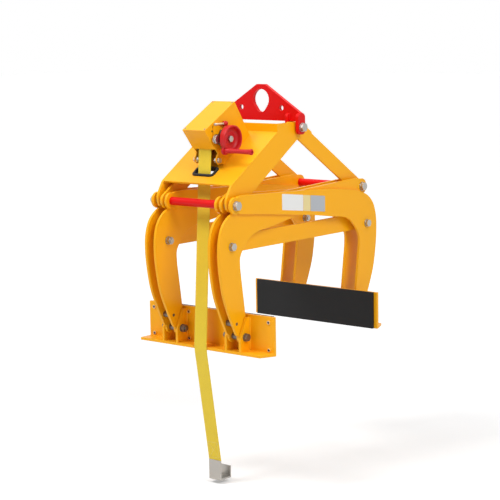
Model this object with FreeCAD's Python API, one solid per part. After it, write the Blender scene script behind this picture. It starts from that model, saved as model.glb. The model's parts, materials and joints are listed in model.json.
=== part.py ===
import FreeCAD, Part
import math
import os

# Scissor clamp for kerb stones and blocks, hung from a hoist by its red suspension plate.
# The part hangs in its open position. X runs along the jaws and along every pivot axis, Y is the
# gripping direction with the front jaw at -Y, and Z is up. The origin is the bearing point at the
# top of the suspension eye. Lengths are in millimetres.

os.makedirs("parts", exist_ok=True)
V = FreeCAD.Vector

# Scissor geometry: pivot places, measured from the eye and from each other
eye_to_top_pivot = 114.0
link_span = 319.0          # top pivot to a side pivot, across
link_drop = 209.4          # top pivot to a side pivot, down
cross_drop = 22.6          # side pivot to the crossing pivot, down
stay_past_link = 12.0      # stay bar pivot outside the side pivot, across
stay_pivot_drop = 97.0     # crossing pivot to a stay bar pivot, down
jaw_inside_link = 33.0     # jaw pivot inside the side pivot, across
jaw_pivot_drop = 372.0     # crossing pivot to a jaw pivot, down
closing_slack = 4.0        # free play of the outer arms round the crossing bolt

# Plate stack: seven layers of plate on each side of the middle
plate = 8.0
layer_gap = 1.0
stack_inner = 95.0
fit = 0.4                  # running clearance of a pivot, radial
seat = 0.3                 # clearance between a seated piece and its neighbour
overrun = 2.0              # how far a cutter runs past a face
least_line = 0.008         # shortest straight line left between two roundings
end_round_share = 0.95     # rounding of a flat bar's end over half its width

# Fasteners
pivot_bolt = 16.0
cross_pin = 20.0
stay_bolt = 14.0
tie_rod = 10.0
tie_shoulder = 9.0
screw = 8.0
head_share = 0.62          # head height over thread diameter
head_flat_share = 1.5      # width across flats over thread diameter
corner_bevel_share = 1.2   # how far a hexagon's corners are turned down, over their height
washer_share = 1.75        # washer diameter over thread diameter
washer_thick = 3.0
nut_share = 0.8
tail_share = 0.3           # thread that stands past the nut

# Hanger
hanger_thick = 12.0
peak_width = 32.0
peak_height = 15.0
hanger_foot = 96.0
shoulder_drop = 71.0
cheek_thick = 11.0
cheek_width = 34.0
cheek_foot = 22.0
cheek_corner = 14.0
cheek_outer_face = 155.0
inner_cheek_thick = 9.0
eye_top_radius = 31.5
eye_foot_radius = 20.0
eye_length = 71.0
rig_hole = 17.0
rig_hole_out = 80.0
rig_hole_drop = 57.0
end_inset = 0.6            # plate's end short of the outer cheek's outer face

# Front link: a folded channel and two inner plates
link_half = 30.0
channel_top = 47.0
web_thick = 6.0
web_start = 87.0
web_short = 35.6           # web's lower end short of the side pivot
link_crown = 16.0          # flat top of the links over the top pivot
link_end = 24.0
inner_link_half = 24.0

# Rear links
rear_half = 24.0
rear_head_half = 28.0
rear_head_length = 78.0

# Winch
winch_half = 44.0
winch_wall = 4.0
winch_back = 111.0
winch_front = 262.0
winch_height = 125.0
winch_nose = 260.0
roof_rise = 10.0           # cover's front fold higher than its back edge
drum_inset = 51.0          # housing's front edge back to the winch shaft
drum_up_share = 0.52       # winch shaft's height above the web over the housing's
drum_side_gap = 2.0        # drum's flange to the side plate
drum_core = 16.0
drum_flange = 43.0
drum_flange_thick = 3.0
winch_shaft = 16.0
shaft_nut_share = 1.1      # width across the shaft's nut end over its diameter
shaft_nut_height = 7.0
shaft_collar_share = 0.8   # radius of the shaft's collar over its diameter
ratchet_radius = 32.0
ratchet_thick = 6.0
ratchet_teeth = 12
tooth_depth = 6.0
wheel_radius = 41.0
wheel_thick = 21.0
wheel_wall = 4.0
wheel_off = 19.0           # winch's side to the hand wheel's back
wheel_hub = 15.0
hub_share = 0.3            # height of the hub over the wheel's thickness
dish_foot_share = 0.55     # radius at the foot of the wheel's dish over the wheel's
dish_depth_share = 0.75    # depth of the dish over the wheel's thickness
ear_start = 4.0            # hand wheel's back face to the grip's ear
ear_share = 0.6            # the ear's far side over the wheel's thickness
grip_radius = 9.0
grip_offset = 42.5
grip_length = 113.0
rod_share = 0.6            # grip's rod over its radius
grip_round_share = 0.3     # rounding of the grip's end over its radius
grip_angle = 232.0
pawl_thick = 6.0
pawl_bolt = 8.0
pawl_nut = 24.0            # width across the nut's flats on the pawl's bolt
pawl_nut_height = 6.5
pawl_washer = 14.5         # radius
pawl_washer_thick = 2.5
pawl_tip_angle = 135.0     # where the pawl's tip lies round the ratchet wheel
pawl_tip_gap = 2.0         # pawl's tip to the ratchet wheel's teeth
pawl_rod = 3.0             # radius of the pawl's rod
knob_radius = 7.5
knob_length = 15.0
knob_rise = 45.0           # winch shaft up to the knob
knob_round_share = 0.4     # rounding of the knob's ends over its radius
chin_share = 0.487         # height of the cover's front edge over the housing's
ear_top_share = 0.34
ear_foot_share = 0.05
ear_reach = 18.0
ear_bolt = 10.0
pawl_inset = 16.6          # housing's front edge back to the pawl's bolt
pawl_up_share = 0.712      # height of the pawl's bolt above the web over the housing's

slot_half = 37.0
slot_before = 25.7         # strap's crossing of the web back to the slot's upper end
slot_after = 7.3           # and on to the slot's lower end
guard_lip = 4.0
guard_inset = 1.5
guard_stand = 4.0
guard_foot = 2.0

# Strap
strap_width = 50.0
strap_thick = 2.5
lip_radius = 14.0
strap_off_drum = 31.6      # drum axis to the strap's middle line
strap_clear = 1.0          # strap to the front jaw's lip
strap_free_drop = 360.0    # lip to the strap's end, down
strap_tuck = 57.0          # lip to the strap's end, back under the load
hook_width = 46.0
hook_thick = 5.0
hook_back = 60.0
hook_reach = 45.0
hook_lip = 35.0

# Arms
arm_end = 25.0
jaw_end = 20.0
sleeve_wall = 4.0
blind_share = 0.6          # depth of a blind seat over the plate's thickness
tube_radius = 12.5
tie_drop = 329.0
tie_inside_link = 6.0      # tie rod inside the side pivot, across

# Stay bars
stay_above = 30.0          # pivot to the bar's top edge
stay_below = 21.0
stay_tail = 30.0
stay_travel = 76.0
stay_corner = 7.0

# Jaws
jaw_length = 500.0
jaw_face_out = 38.0        # jaw pivot to the gripping face
jaw_plate = 8.0
lining = 8.0
lining_inset = 12.0
jaw_above = 66.0           # jaw pivot to the top edge
jaw_below = 51.0           # jaw pivot to the underside
flange_reach = 60.0
flange_cut = 20.0
flange_cut_back = 46.0
lug_thick = 8.0
lug_gap = 1.5
lug_lean_share = 0.1       # lug's upper corner off the jaw pivot over the height above it
screw_end = 20.0           # jaw's end to the outer screws
screw_off_lug = 10.0       # inner lug to the inner screws, along the jaw
screw_edge = 17.0
screw_neck_share = 0.7     # radius at the outer face of a screw's head over its diameter
screw_head_share = 0.35    # height of a screw's head over its diameter
socket_share = 0.3         # radius and depth of a screw's socket over its diameter

# Places worked out from the sizes above
stay_pivot_out = link_span + stay_past_link
jaw_pivot_out = link_span - jaw_inside_link
tie_out = link_span - tie_inside_link
top_z = -eye_to_top_pivot
side_z = top_z - link_drop
cross_z = side_z - cross_drop
stay_z = cross_z - stay_pivot_drop
jaw_z = cross_z - jaw_pivot_drop
link_length = math.hypot(link_span, link_drop)
web_end = link_length - web_short
drum_along = winch_front - drum_inset
drum_up = channel_top + winch_height * drum_up_share
pawl_pivot_along = winch_front - pawl_inset
pawl_pivot_up = channel_top + winch_height * pawl_up_share
along_y = -link_span / link_length
along_z = -link_drop / link_length
lift_y = along_z
lift_z = -along_y
corner_share = 0.45

# The arm seen from the side, from its pivot end to its jaw end and back. Each point is a pair of
# shares: across, of the side pivot's distance, and down, of the jaw pivot's drop.
ARM_TOP_SHARES = [(1.0, 0.128), (0.88, 0.138), (0.44, 0.121), (0.0, 0.105), (-0.47, 0.083),
                  (-0.881, 0.038), (-1.06, -0.013), (-1.16, -0.089), (-1.21, -0.212),
                  (-1.213, -0.36), (-1.191, -0.513), (-1.154, -0.664), (-1.075, -0.823),
                  (-0.969, -1.005)]
ARM_FOOT_SHARES = [(-0.828, -0.992), (-0.85, -0.86), (-0.89, -0.616), (-0.918, -0.45),
                   (-0.921, -0.355), (-0.865, -0.285), (-0.765, -0.205), (-0.66, -0.172),
                   (-0.46, -0.153), (-0.125, -0.11), (0.0, -0.098), (0.636, -0.035),
                   (1.0, -0.004)]

# The channel's side plate, from its top pivot end along its upper edge and back. Each point is a
# pair of shares: along, of the link's length, and lift, of the web's height.
CHANNEL_SHARES = [(-0.069, 0.32), (-0.0126, 0.8), (0.0912, 1.0), (0.907, 1.0), (1.0315, 0.51),
                  (1.063, -0.153), (1.0, -0.51), (0.85, -0.64), (0.063, -0.64), (-0.063, -0.51)]

# The pawl's foot and back, as shares of its bolt's diameter off the bolt's axis and off the knob's.
PAWL_FOOT_SHARES = [(-1.0, 1.0), (-1.0, -1.0), (0.6, -1.0), (0.6, 1.0)]
PAWL_TOP_SHARES = [(1.4, 0.4), (-0.4, 0.4)]


def write(name, shape):
    """Write one sub-part under its node's name."""
    shape.exportStep("parts/" + name + ".step")


def group(solids):
    """Several separate solids as one node."""
    return Part.makeCompound(solids)


def fuse(solids):
    """One solid from pieces that overlap or touch."""
    shape = solids[0]
    for piece in solids[1:]:
        shape = shape.fuse(piece)
    return shape.removeSplitter()


def far(shape):
    """The same piece on the far side of the middle."""
    return shape.mirror(V(0, 0, 0), V(1, 0, 0))


def rear(shape):
    """The same piece turned to the rear, as seen from the side."""
    return shape.mirror(V(0, 0, 0), V(0, 1, 0))


def layer(index):
    """Inner and outer X of one layer of the plate stack."""
    inner = stack_inner + index * (plate + layer_gap)
    return inner, inner + plate


def rounded_edges(points, limit=None):
    """Edges of a closed outline whose corners are arcs, as large as the runs allow."""
    starts, arcs = [], []
    count = len(points)
    for index, point in enumerate(points):
        before = point - points[index - 1]
        after = points[(index + 1) % count] - point
        turn = before.getAngle(after)
        reach = corner_share * min(before.Length, after.Length)
        radius = reach / math.tan(turn / 2)
        if limit is not None and radius > limit:
            radius = limit
            reach = radius * math.tan(turn / 2)
        into, out = V(before).normalize(), V(after).normalize()
        first, last = point - into * reach, point + out * reach
        inward = (out - into).normalize()
        middle = point + inward * (radius / math.cos(turn / 2) - radius)
        starts.append((first, last))
        arcs.append(Part.Arc(first, middle, last).toShape())
    edges = []
    for index, arc in enumerate(arcs):
        edges.append(arc)
        last, first = starts[index][1], starts[(index + 1) % count][0]
        if (first - last).Length > least_line:
            edges.append(Part.makeLine(last, first))
    return edges


def cut_from(points, x_low, x_high, limit=None, sharp=False):
    """A plate of the outline given by (y, z) points, from x_low to x_high."""
    corners = [V(x_low, y, z) for y, z in points]
    if sharp:
        wire = Part.makePolygon(corners + [corners[0]])
    else:
        wire = Part.Wire(rounded_edges(corners, limit))
    return Part.Face(wire).extrude(V(x_high - x_low, 0, 0))


def disc(y, z, radius, x_low, x_high):
    """A round bar or a round cutter along X."""
    return Part.makeCylinder(radius, x_high - x_low, V(x_low, y, z), V(1, 0, 0))


def ring(y, z, radius, bore, x_low, x_high):
    """A washer, spacer or tube along X."""
    hole = disc(y, z, bore, x_low - overrun, x_high + overrun)
    return disc(y, z, radius, x_low, x_high).cut(hole)


def hexagon(y, z, flats, x_low, x_high):
    """A hexagonal prism along X with its corners turned down at both ends."""
    corner = flats / math.sqrt(3)
    points = [V(x_low, y + corner * math.cos(k * math.pi / 3), z + corner * math.sin(k * math.pi / 3))
              for k in range(7)]
    prism = Part.Face(Part.makePolygon(points)).extrude(V(x_high - x_low, 0, 0))
    bevel = (corner - flats / 2) * corner_bevel_share
    barrel = disc(y, z, corner, x_low, x_high)
    rims = [edge for edge in barrel.Edges if isinstance(edge.Curve, Part.Circle)]
    return prism.common(barrel.makeChamfer(bevel / 2, bevel, rims[:1]).common(
        barrel.makeChamfer(bevel / 2, bevel, rims[-1:])))


def bolt_set(y, z, size, x_nut, x_head):
    """Bolt with its head outwards, two washers and a nut, on plates from x_nut to x_head."""
    radius = size / 2
    wide = size * washer_share / 2
    head_low = x_head + washer_thick
    nut_high = x_nut - washer_thick
    nut_low = nut_high - size * nut_share
    shank = disc(y, z, radius, nut_low - size * tail_share, head_low)
    head = hexagon(y, z, size * head_flat_share, head_low, head_low + size * head_share)
    nut = hexagon(y, z, size * head_flat_share, nut_low, nut_high)
    nut = nut.cut(disc(y, z, radius, nut_low - overrun, nut_high + overrun))
    return [fuse([shank, head]), nut, ring(y, z, wide, radius, x_head, head_low),
            ring(y, z, wide, radius, nut_high, x_nut)]


def spacer(y, z, size, x_low, x_high):
    """Spacer tube on a bolt between two plates."""
    return ring(y, z, size / 2 + sleeve_wall, size / 2 + seat, x_low, x_high)


def link_point(along, lift):
    """(y, z) of a point given along the front link from its top pivot, and square to it."""
    return along * along_y + lift * lift_y, top_z + along * along_z + lift * lift_z


def link_plate(points, x_low, x_high, limit=None):
    """A plate whose outline is given along and square to the front link."""
    return cut_from([link_point(a, h) for a, h in points], x_low, x_high, limit)


# Hanger

def hanger_plate():
    """Red plate with the suspension eye and two rigging holes, let through the outer cheeks."""
    half = peak_width / 2
    end = cheek_outer_face - end_inset
    outline = [(half, peak_height), (end, -shoulder_drop), (end, -hanger_foot),
               (-end, -hanger_foot), (-end, -shoulder_drop), (-half, peak_height)]
    low = V(0, -hanger_thick / 2, 0)
    corners = [V(x, 0, z) + low for x, z in outline]
    slab = Part.Face(Part.makePolygon(corners + [corners[0]])).extrude(V(0, hanger_thick, 0))
    through = hanger_thick + 2 * overrun
    front = -hanger_thick / 2 - overrun
    eye_low = -eye_length + eye_foot_radius
    eye_high = -eye_top_radius
    lean = math.asin((eye_foot_radius - eye_top_radius) / (eye_high - eye_low))
    side, rise = math.cos(lean), math.sin(lean)
    flank = [V(eye_foot_radius * side, front, eye_low + eye_foot_radius * rise),
             V(eye_top_radius * side, front, eye_high + eye_top_radius * rise)]
    flank += [V(-corner.x, front, corner.z) for corner in reversed(flank)]
    slab = slab.cut(Part.Face(Part.makePolygon(flank + [flank[0]])).extrude(V(0, through, 0)))
    for radius, z in ((eye_foot_radius, eye_low), (eye_top_radius, eye_high)):
        slab = slab.cut(Part.makeCylinder(radius, through, V(0, front, z), V(0, 1, 0)))
    for x in (-rig_hole_out, rig_hole_out):
        hole = Part.makeCylinder(rig_hole / 2, through, V(x, front, -rig_hole_drop), V(0, 1, 0))
        slab = slab.cut(hole)
    return slab.removeSplitter()


def cheek(x_low, x_high, top):
    """Red upright cheek with the top pivot's hole."""
    half = cheek_width / 2
    foot = top_z - cheek_foot
    points = [(-half, foot), (half, foot), (half, top), (-half, top)]
    piece = cut_from(points, x_low, x_high, cheek_corner)
    return piece.cut(disc(0, top_z, pivot_bolt / 2 + fit, x_low - overrun, x_high + overrun))


def outer_cheek(plate_piece):
    """Outer cheek, slotted from the top for the hanger plate's end."""
    piece = cheek(cheek_outer_face - cheek_thick, cheek_outer_face, -shoulder_drop)
    return piece.cut(plate_piece)


def inner_cheek(plate_piece):
    """Inner cheek, slotted over the hanger plate's foot."""
    high = layer(1)[1]
    piece = cheek(high - inner_cheek_thick, high, -shoulder_drop)
    return piece.cut(plate_piece)


def top_bolts():
    """The two bolts of the top pivot."""
    solids = bolt_set(0, top_z, pivot_bolt, layer(1)[1] - inner_cheek_thick, cheek_outer_face)
    return group(both_sides(solids))


def top_spacers():
    """Spacers that keep the three link plates apart on the top bolts."""
    gaps = [(layer(1)[1] + seat, layer(2)[0] - seat), (layer(2)[1] + seat, layer(3)[0] - seat),
            (layer(3)[1] + seat, layer(4)[0] - seat),
            (layer(4)[1] + seat, cheek_outer_face - cheek_thick - seat)]
    solids = [spacer(0, top_z, pivot_bolt, low, high) for low, high in gaps if high - low > seat]
    return group(both_sides(solids))


# Front link and its winch

def link_bores(x_low, x_high):
    """Cutters for the two pivots of a front link plate."""
    radius = pivot_bolt / 2 + fit
    return [disc(y, z, radius, x_low - overrun, x_high + overrun)
            for y, z in (link_point(0, 0), link_point(link_length, 0))]


def crowned(piece):
    """A link plate cut flat over the top pivot, under the hanger plate's foot."""
    reach = channel_top + link_half
    return piece.cut(Part.makeBox(2 * cheek_outer_face, 2 * reach, reach,
                                  V(-cheek_outer_face, -reach, top_z + link_crown)))


def lip_ear(low, high):
    """The side plate's corner beside the web's lip, up to the link's flat top."""
    crown_at = (link_crown - channel_top * lift_z) / along_z
    y = link_point(web_start, channel_top)[0]
    points = [link_point(web_start, channel_top), (y, top_z + link_crown),
              link_point(crown_at, channel_top), link_point(crown_at, channel_top / 2),
              link_point(web_start, channel_top / 2)]
    return cut_from(points, low, high, sharp=True)


def channel():
    """Yellow channel: a sloping web with the strap slot, between two side plates."""
    low, high = layer(4)
    side_points = [(a * link_length, h * channel_top) for a, h in CHANNEL_SHARES]
    side = fuse([crowned(link_plate(side_points, low, high, link_half)), lip_ear(low, high)])
    for bore in link_bores(low, high):
        side = side.cut(bore)
    under = channel_top - web_thick
    web = slope_block(web_start, web_end, low, under, channel_top)
    y, z = link_point(web_start, channel_top)
    lip_height = top_z + link_crown - z
    lip = Part.makeBox(2 * low, web_thick, lip_height + web_thick, V(-low, y, z - web_thick))
    body = fuse([side, far(side), web, lip])
    return body.cut(slot_cutter(0, channel_top - web_thick - overrun, channel_top + overrun))


def slope_block(start, end, half, low, high):
    """Block on the link's slope: from start to end along it, and from low to high square to it."""
    points = [(start, low), (start, high), (end, high), (end, low)]
    corners = [V(-half, *link_point(a, h)) for a, h in points]
    return Part.Face(Part.makePolygon(corners + [corners[0]])).extrude(V(2 * half, 0, 0))


def strap_crossing():
    """How far along the link the strap's middle line passes the web."""
    (y, z), (low_y, low_z) = strap_route()[:2]
    height = y * lift_y + (z - top_z) * lift_z
    low_height = low_y * lift_y + (low_z - top_z) * lift_z
    share = (height - channel_top + web_thick / 2) / (height - low_height)
    cross_y, cross_height = y + share * (low_y - y), z + share * (low_z - z)
    return cross_y * along_y + (cross_height - top_z) * along_z


def slot_cutter(grow, low, high):
    """Strap slot grown by a margin all round, between two heights."""
    middle = strap_crossing()
    return slope_block(middle - slot_before - grow, middle + slot_after + grow, slot_half + grow,
                       low, high)


def slot_guard():
    """Black rubber edging pressed round the strap slot."""
    top, foot = channel_top + guard_stand, channel_top - web_thick - guard_foot
    block = slot_cutter(guard_lip, foot, top)
    web = slot_cutter(2 * guard_lip, channel_top - web_thick, channel_top)
    web = web.cut(slot_cutter(0, foot, top))
    return block.cut(web).cut(slot_cutter(-guard_inset, foot - overrun, top + overrun))


def inner_link():
    """Inner plate of the front link."""
    low, high = layer(2)
    points = [(-inner_link_half, inner_link_half), (link_length + link_end, inner_link_half),
              (link_length + link_end, -inner_link_half), (-inner_link_half, -inner_link_half)]
    piece = crowned(link_plate(points, low, high, inner_link_half * end_round_share))
    for bore in link_bores(low, high):
        piece = piece.cut(bore)
    return piece


def winch_side():
    """Upright side plate of the winch housing, with a bolt ear at its chin."""
    top = channel_top + winch_height - winch_wall
    nose = winch_nose - winch_wall
    ear_top = channel_top + winch_height * ear_top_share
    ear_foot = channel_top + winch_height * ear_foot_share
    points = [(winch_back, channel_top), (winch_back, top), (winch_front, top + roof_rise),
              (nose, channel_top + winch_height * chin_share), (nose, ear_top),
              (nose + ear_reach, ear_top - ear_reach / 2),
              (nose + ear_reach, ear_foot + ear_reach / 2), (nose, ear_foot), (nose, channel_top)]
    corners = [link_point(a, h) for a, h in points]
    low = winch_half - winch_wall
    piece = cut_from(corners, low, winch_half, sharp=True)
    places = [(drum_place(), winch_shaft / 2 + fit), (pawl_place(), pawl_bolt / 2),
              (ear_place(), ear_bolt / 2)]
    for (y, z), radius in places:
        piece = piece.cut(disc(y, z, radius, low - overrun, winch_half + overrun))
    return piece


def ear_place():
    """(y, z) of the bolt in the winch side's ear."""
    middle = channel_top + winch_height * (ear_top_share + ear_foot_share) / 2
    return link_point(winch_nose + ear_reach / 3, middle)


def pawl_place():
    """(y, z) of the pawl's bolt."""
    return link_point(pawl_pivot_along, pawl_pivot_up)


def winch_cover():
    """Folded cover over the drum: back, roof and front."""
    top = channel_top + winch_height
    under = top - winch_wall
    chin = channel_top + winch_height * chin_share
    points = [(winch_back - winch_wall, channel_top), (winch_back - winch_wall, top),
              (winch_front + winch_wall, top + roof_rise), (winch_nose, chin),
              (winch_nose - winch_wall, chin), (winch_front, under + roof_rise), (winch_back, under),
              (winch_back, channel_top)]
    corners = [link_point(a, h) for a, h in points]
    return cut_from(corners, -winch_half, winch_half, sharp=True)


def drum_place():
    """(y, z) of the winch shaft."""
    return link_point(drum_along, drum_up)


def winch_shaft_piece():
    """Shaft through both side plates, with a nut end outside the hand wheel."""
    y, z = drum_place()
    hub = winch_half + wheel_off + wheel_thick * hub_share
    bar = disc(y, z, winch_shaft / 2, -winch_half - winch_wall, hub)
    end = hexagon(y, z, winch_shaft * shaft_nut_share, hub, hub + shaft_nut_height)
    collar = winch_shaft * shaft_collar_share
    far_collar = disc(y, z, collar, -winch_half - winch_wall, -winch_half - seat)
    sleeve = disc(y, z, collar, winch_half + ratchet_thick + 2 * seat, winch_half + wheel_off)
    return fuse([bar, end, far_collar, sleeve])


def drum():
    """Strap drum: a core with two flanges."""
    y, z = drum_place()
    reach = winch_half - winch_wall - drum_side_gap
    core = disc(y, z, drum_core, -reach, reach)
    flanges = [disc(y, z, drum_flange, reach - drum_flange_thick, reach),
               disc(y, z, drum_flange, -reach, -reach + drum_flange_thick)]
    return fuse([core] + flanges).cut(disc(y, z, winch_shaft / 2, -winch_half, winch_half))


def winding():
    """Strap wound on the drum."""
    y, z = drum_place()
    return ring(y, z, strap_wound_radius(), drum_core, -strap_width / 2, strap_width / 2)


def strap_wound_radius():
    """Radius of the wound strap: its front is where the free strap leaves."""
    return drum_place()[0] - strap_route()[0][0] - strap_thick / 2


def ratchet():
    """Ratchet wheel with slanted teeth."""
    y, z = drum_place()
    low = winch_half + seat
    root = ratchet_radius - tooth_depth
    points = []
    for tooth in range(ratchet_teeth):
        angle = 2 * math.pi * tooth / ratchet_teeth
        for radius in (root, ratchet_radius):
            points.append((y + radius * math.cos(angle), z + radius * math.sin(angle)))
    wheel = cut_from(points, low, low + ratchet_thick, sharp=True)
    return wheel.cut(disc(y, z, winch_shaft / 2, low - overrun, low + ratchet_thick + overrun))


def hand_wheel():
    """Red dished hand wheel: a rim, a sunk disc and a hub."""
    y, z = drum_place()
    low = winch_half + wheel_off
    high = low + wheel_thick
    bowl = disc(y, z, wheel_radius, low, high)
    depth = wheel_thick * dish_depth_share
    dish = Part.makeCone(wheel_radius * dish_foot_share, wheel_radius - wheel_wall, depth,
                         V(high - depth, y, z), V(1, 0, 0))
    hub = disc(y, z, wheel_hub, low, low + wheel_thick * hub_share)
    ear_y, ear_z = grip_place()
    foot = low + wheel_thick * ear_share
    ear = disc(ear_y, ear_z, grip_radius + wheel_wall, low + ear_start, foot)
    wheel = fuse([bowl.cut(dish), hub, ear])
    wheel = wheel.cut(disc(y, z, winch_shaft / 2, low - overrun, high + overrun))
    wheel = wheel.cut(disc(ear_y, ear_z, grip_radius + seat, foot, high + overrun))
    return wheel.cut(disc(ear_y, ear_z, grip_radius * rod_share, low + ear_start, high + overrun))


def grip_place():
    """(y, z) of the grip on the hand wheel."""
    y, z = drum_place()
    angle = math.radians(grip_angle)
    return y + grip_offset * math.cos(angle), z + grip_offset * math.sin(angle)


def wheel_grip():
    """Round grip that stands out of the hand wheel's rim."""
    y, z = grip_place()
    low = winch_half + wheel_off
    foot = low + wheel_thick * ear_share
    rod = disc(y, z, grip_radius * rod_share, low + ear_start, foot)
    bar = disc(y, z, grip_radius, foot, low + grip_length)
    rims = [edge for edge in bar.Edges if isinstance(edge.Curve, Part.Circle)
            and abs(edge.CenterOfMass.x - low - grip_length) < seat]
    return fuse([rod, bar.makeFillet(grip_radius * grip_round_share, rims)])


def pawl():
    """Pawl plate on the winch's side, with its tooth on the ratchet wheel and a rod on top."""
    low = winch_half + seat
    high = low + pawl_thick
    y, z = pawl_place()
    drum_y, drum_z = drum_place()
    tip = ratchet_radius + pawl_tip_gap
    angle = math.radians(pawl_tip_angle)
    tip_y, tip_z = drum_y + tip * math.cos(angle), drum_z + tip * math.sin(angle)
    points = [(y + a * pawl_bolt, z + h * pawl_bolt) for a, h in PAWL_FOOT_SHARES]
    points += [(tip_y, tip_z), (tip_y + pawl_bolt, tip_z + pawl_bolt)]
    points += [(y + a * pawl_bolt, knob_z() + h * pawl_bolt) for a, h in PAWL_TOP_SHARES]
    body = cut_from(points, low, high, sharp=True)
    rod = Part.makeCylinder(pawl_rod, knob_y() - y, V(low + knob_radius, y, knob_z()), V(0, 1, 0))
    return fuse([body, rod]).cut(disc(y, z, pawl_bolt / 2 + fit, low - overrun, high + overrun))


def knob_y():
    """Y of the pawl knob's near end."""
    return drum_place()[0] - knob_length / 2


def knob_z():
    """Z of the pawl knob's middle."""
    return drum_place()[1] + knob_rise


def pawl_knob():
    """Red knob on the pawl's rod."""
    x = winch_half + seat + knob_radius
    bar = Part.makeCylinder(knob_radius, knob_length, V(x, knob_y(), knob_z()), V(0, 1, 0))
    rims = [edge for edge in bar.Edges if isinstance(edge.Curve, Part.Circle)]
    return bar.makeFillet(knob_radius * knob_round_share, rims)


def winch_bolts():
    """Pawl bolt and the short bolts in the side plates' ears."""
    y, z = pawl_place()
    outer = winch_half + pawl_thick + 2 * seat
    shank = disc(y, z, pawl_bolt / 2, winch_half - winch_wall, outer)
    washer = disc(y, z, pawl_washer, outer, outer + pawl_washer_thick)
    head = hexagon(y, z, pawl_nut, outer + pawl_washer_thick,
                   outer + pawl_washer_thick + pawl_nut_height)
    y, z = ear_place()
    inner = winch_half - winch_wall
    stud = disc(y, z, ear_bolt / 2, inner - ear_bolt * nut_share, winch_half)
    cap = hexagon(y, z, ear_bolt * head_flat_share, winch_half, winch_half + ear_bolt * head_share)
    nut = hexagon(y, z, ear_bolt * head_flat_share, inner - ear_bolt * nut_share, inner)
    stud = fuse([stud, cap, nut])
    return group([fuse([shank, washer, head]), stud, far(stud)])


# Strap

def strap_route():
    """(y, z) points of the strap's middle line, from the drum to the hook."""
    lip_y = -(jaw_pivot_out - jaw_face_out + flange_reach) - strap_thick / 2 - strap_clear
    lip_z = jaw_z - jaw_below + jaw_plate / 2
    top_y = drum_place()[0] - strap_off_drum
    return [(top_y, drum_place()[1]), (lip_y, lip_z), (lip_y + strap_tuck, lip_z - strap_free_drop)]


def strap():
    """Webbing strap from the drum, over the front jaw's lip and in under the load."""
    a, b, c = (V(0, y, z) for y, z in strap_route())
    into, out = (b - a).normalize(), (c - b).normalize()
    turn = into.getAngle(out)
    inward = (out - into).normalize()
    centre = b + inward * (lip_radius / math.cos(turn / 2))
    reach = lip_radius * math.tan(turn / 2)
    square_in, square_out = V(0, -into.z, into.y), V(0, -out.z, out.y)
    if square_in.dot(inward) > 0:
        square_in, square_out = square_in * -1, square_out * -1
    sides = []
    for offset in (-strap_thick / 2, strap_thick / 2):
        first, last = b - into * reach + square_in * offset, b + out * reach + square_out * offset
        middle = centre - inward * (lip_radius + offset)
        sides.append((a + square_in * offset, first, middle, last, c + square_out * offset))
    (p0, p1, pm, p2, p3), (q0, q1, qm, q2, q3) = sides
    wire = Part.Wire([Part.makeLine(p0, p1), Part.Arc(p1, pm, p2).toShape(), Part.makeLine(p2, p3),
                      Part.makeLine(p3, q3), Part.makeLine(q3, q2), Part.Arc(q2, qm, q1).toShape(),
                      Part.makeLine(q1, q0), Part.makeLine(q0, p0)])
    wire.translate(V(-strap_width / 2, 0, 0))
    band = Part.Face(wire).extrude(V(strap_width, 0, 0))
    length = (b - a).Length + (c - b).Length - 2 * reach + lip_radius * turn
    print("strap arc radius", lip_radius, "length", round(length, 1), "volume over section x length",
          round(band.Volume / (strap_width * strap_thick * length), 5))
    return band


def strap_hook():
    """Flat steel hook at the strap's end."""
    end_y, end_z = strap_route()[-1]
    points = [(0, 0), (0, -hook_back), (hook_reach, -hook_back), (hook_reach, hook_lip - hook_back)]
    path = [(end_y + y, end_z - seat + z) for y, z in points]
    half = hook_thick / 2
    outer = [(path[0][0] - half, path[0][1]), (path[1][0] - half, path[1][1] - half),
             (path[2][0] + half, path[2][1] - half), (path[3][0] + half, path[3][1])]
    inner = [(path[3][0] - half, path[3][1]), (path[2][0] - half, path[2][1] + half),
             (path[1][0] + half, path[1][1] + half), (path[0][0] + half, path[0][1])]
    return cut_from(outer + inner, -hook_width / 2, hook_width / 2, sharp=True)


# Rear links

def rear_link():
    """Single plate from the top pivot to the rear side pivot."""
    low, high = layer(3)
    step = rear_head_half - rear_half
    points = [(-rear_half, rear_head_half), (rear_head_length, rear_head_half),
              (rear_head_length + step, rear_half), (link_length + link_end, rear_half),
              (link_length + link_end, -rear_half), (-rear_half, -rear_half)]
    piece = crowned(link_plate(points, low, high, rear_half * end_round_share))
    for bore in link_bores(low, high):
        piece = piece.cut(bore)
    return rear(piece)


# Arms. They are drawn as the arm of the rear jaw, whose pivot end is at the front.

def arm_points():
    """(y, z) outline of the rear jaw's arm."""
    return [(-a * link_span, cross_z + d * jaw_pivot_drop)
            for a, d in ARM_TOP_SHARES + ARM_FOOT_SHARES]


def arm_plate(index, cross_radius, blind=False):
    """Arm plate in one layer of the stack, with its pivot, crossing, stay and jaw holes."""
    low, high = layer(index)
    body = cut_from(arm_points(), low, high)
    ends = [disc(-link_span, side_z, arm_end, low, high),
            disc(jaw_pivot_out, jaw_z, jaw_end, low, high)]
    body = fuse([body] + ends)
    holes = [(-link_span, side_z, pivot_bolt / 2 + fit),
             (stay_pivot_out, stay_z, stay_bolt / 2 + fit), (jaw_pivot_out, jaw_z, stay_bolt / 2 + fit),
             (tie_out, cross_z - tie_drop, tie_rod / 2)]
    for y, z, radius in holes:
        body = body.cut(disc(y, z, radius, low - overrun, high + overrun))
    reach = low + plate * blind_share + seat if blind else high + overrun
    return body.cut(disc(0, cross_z, cross_radius, low - overrun, reach))


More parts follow.
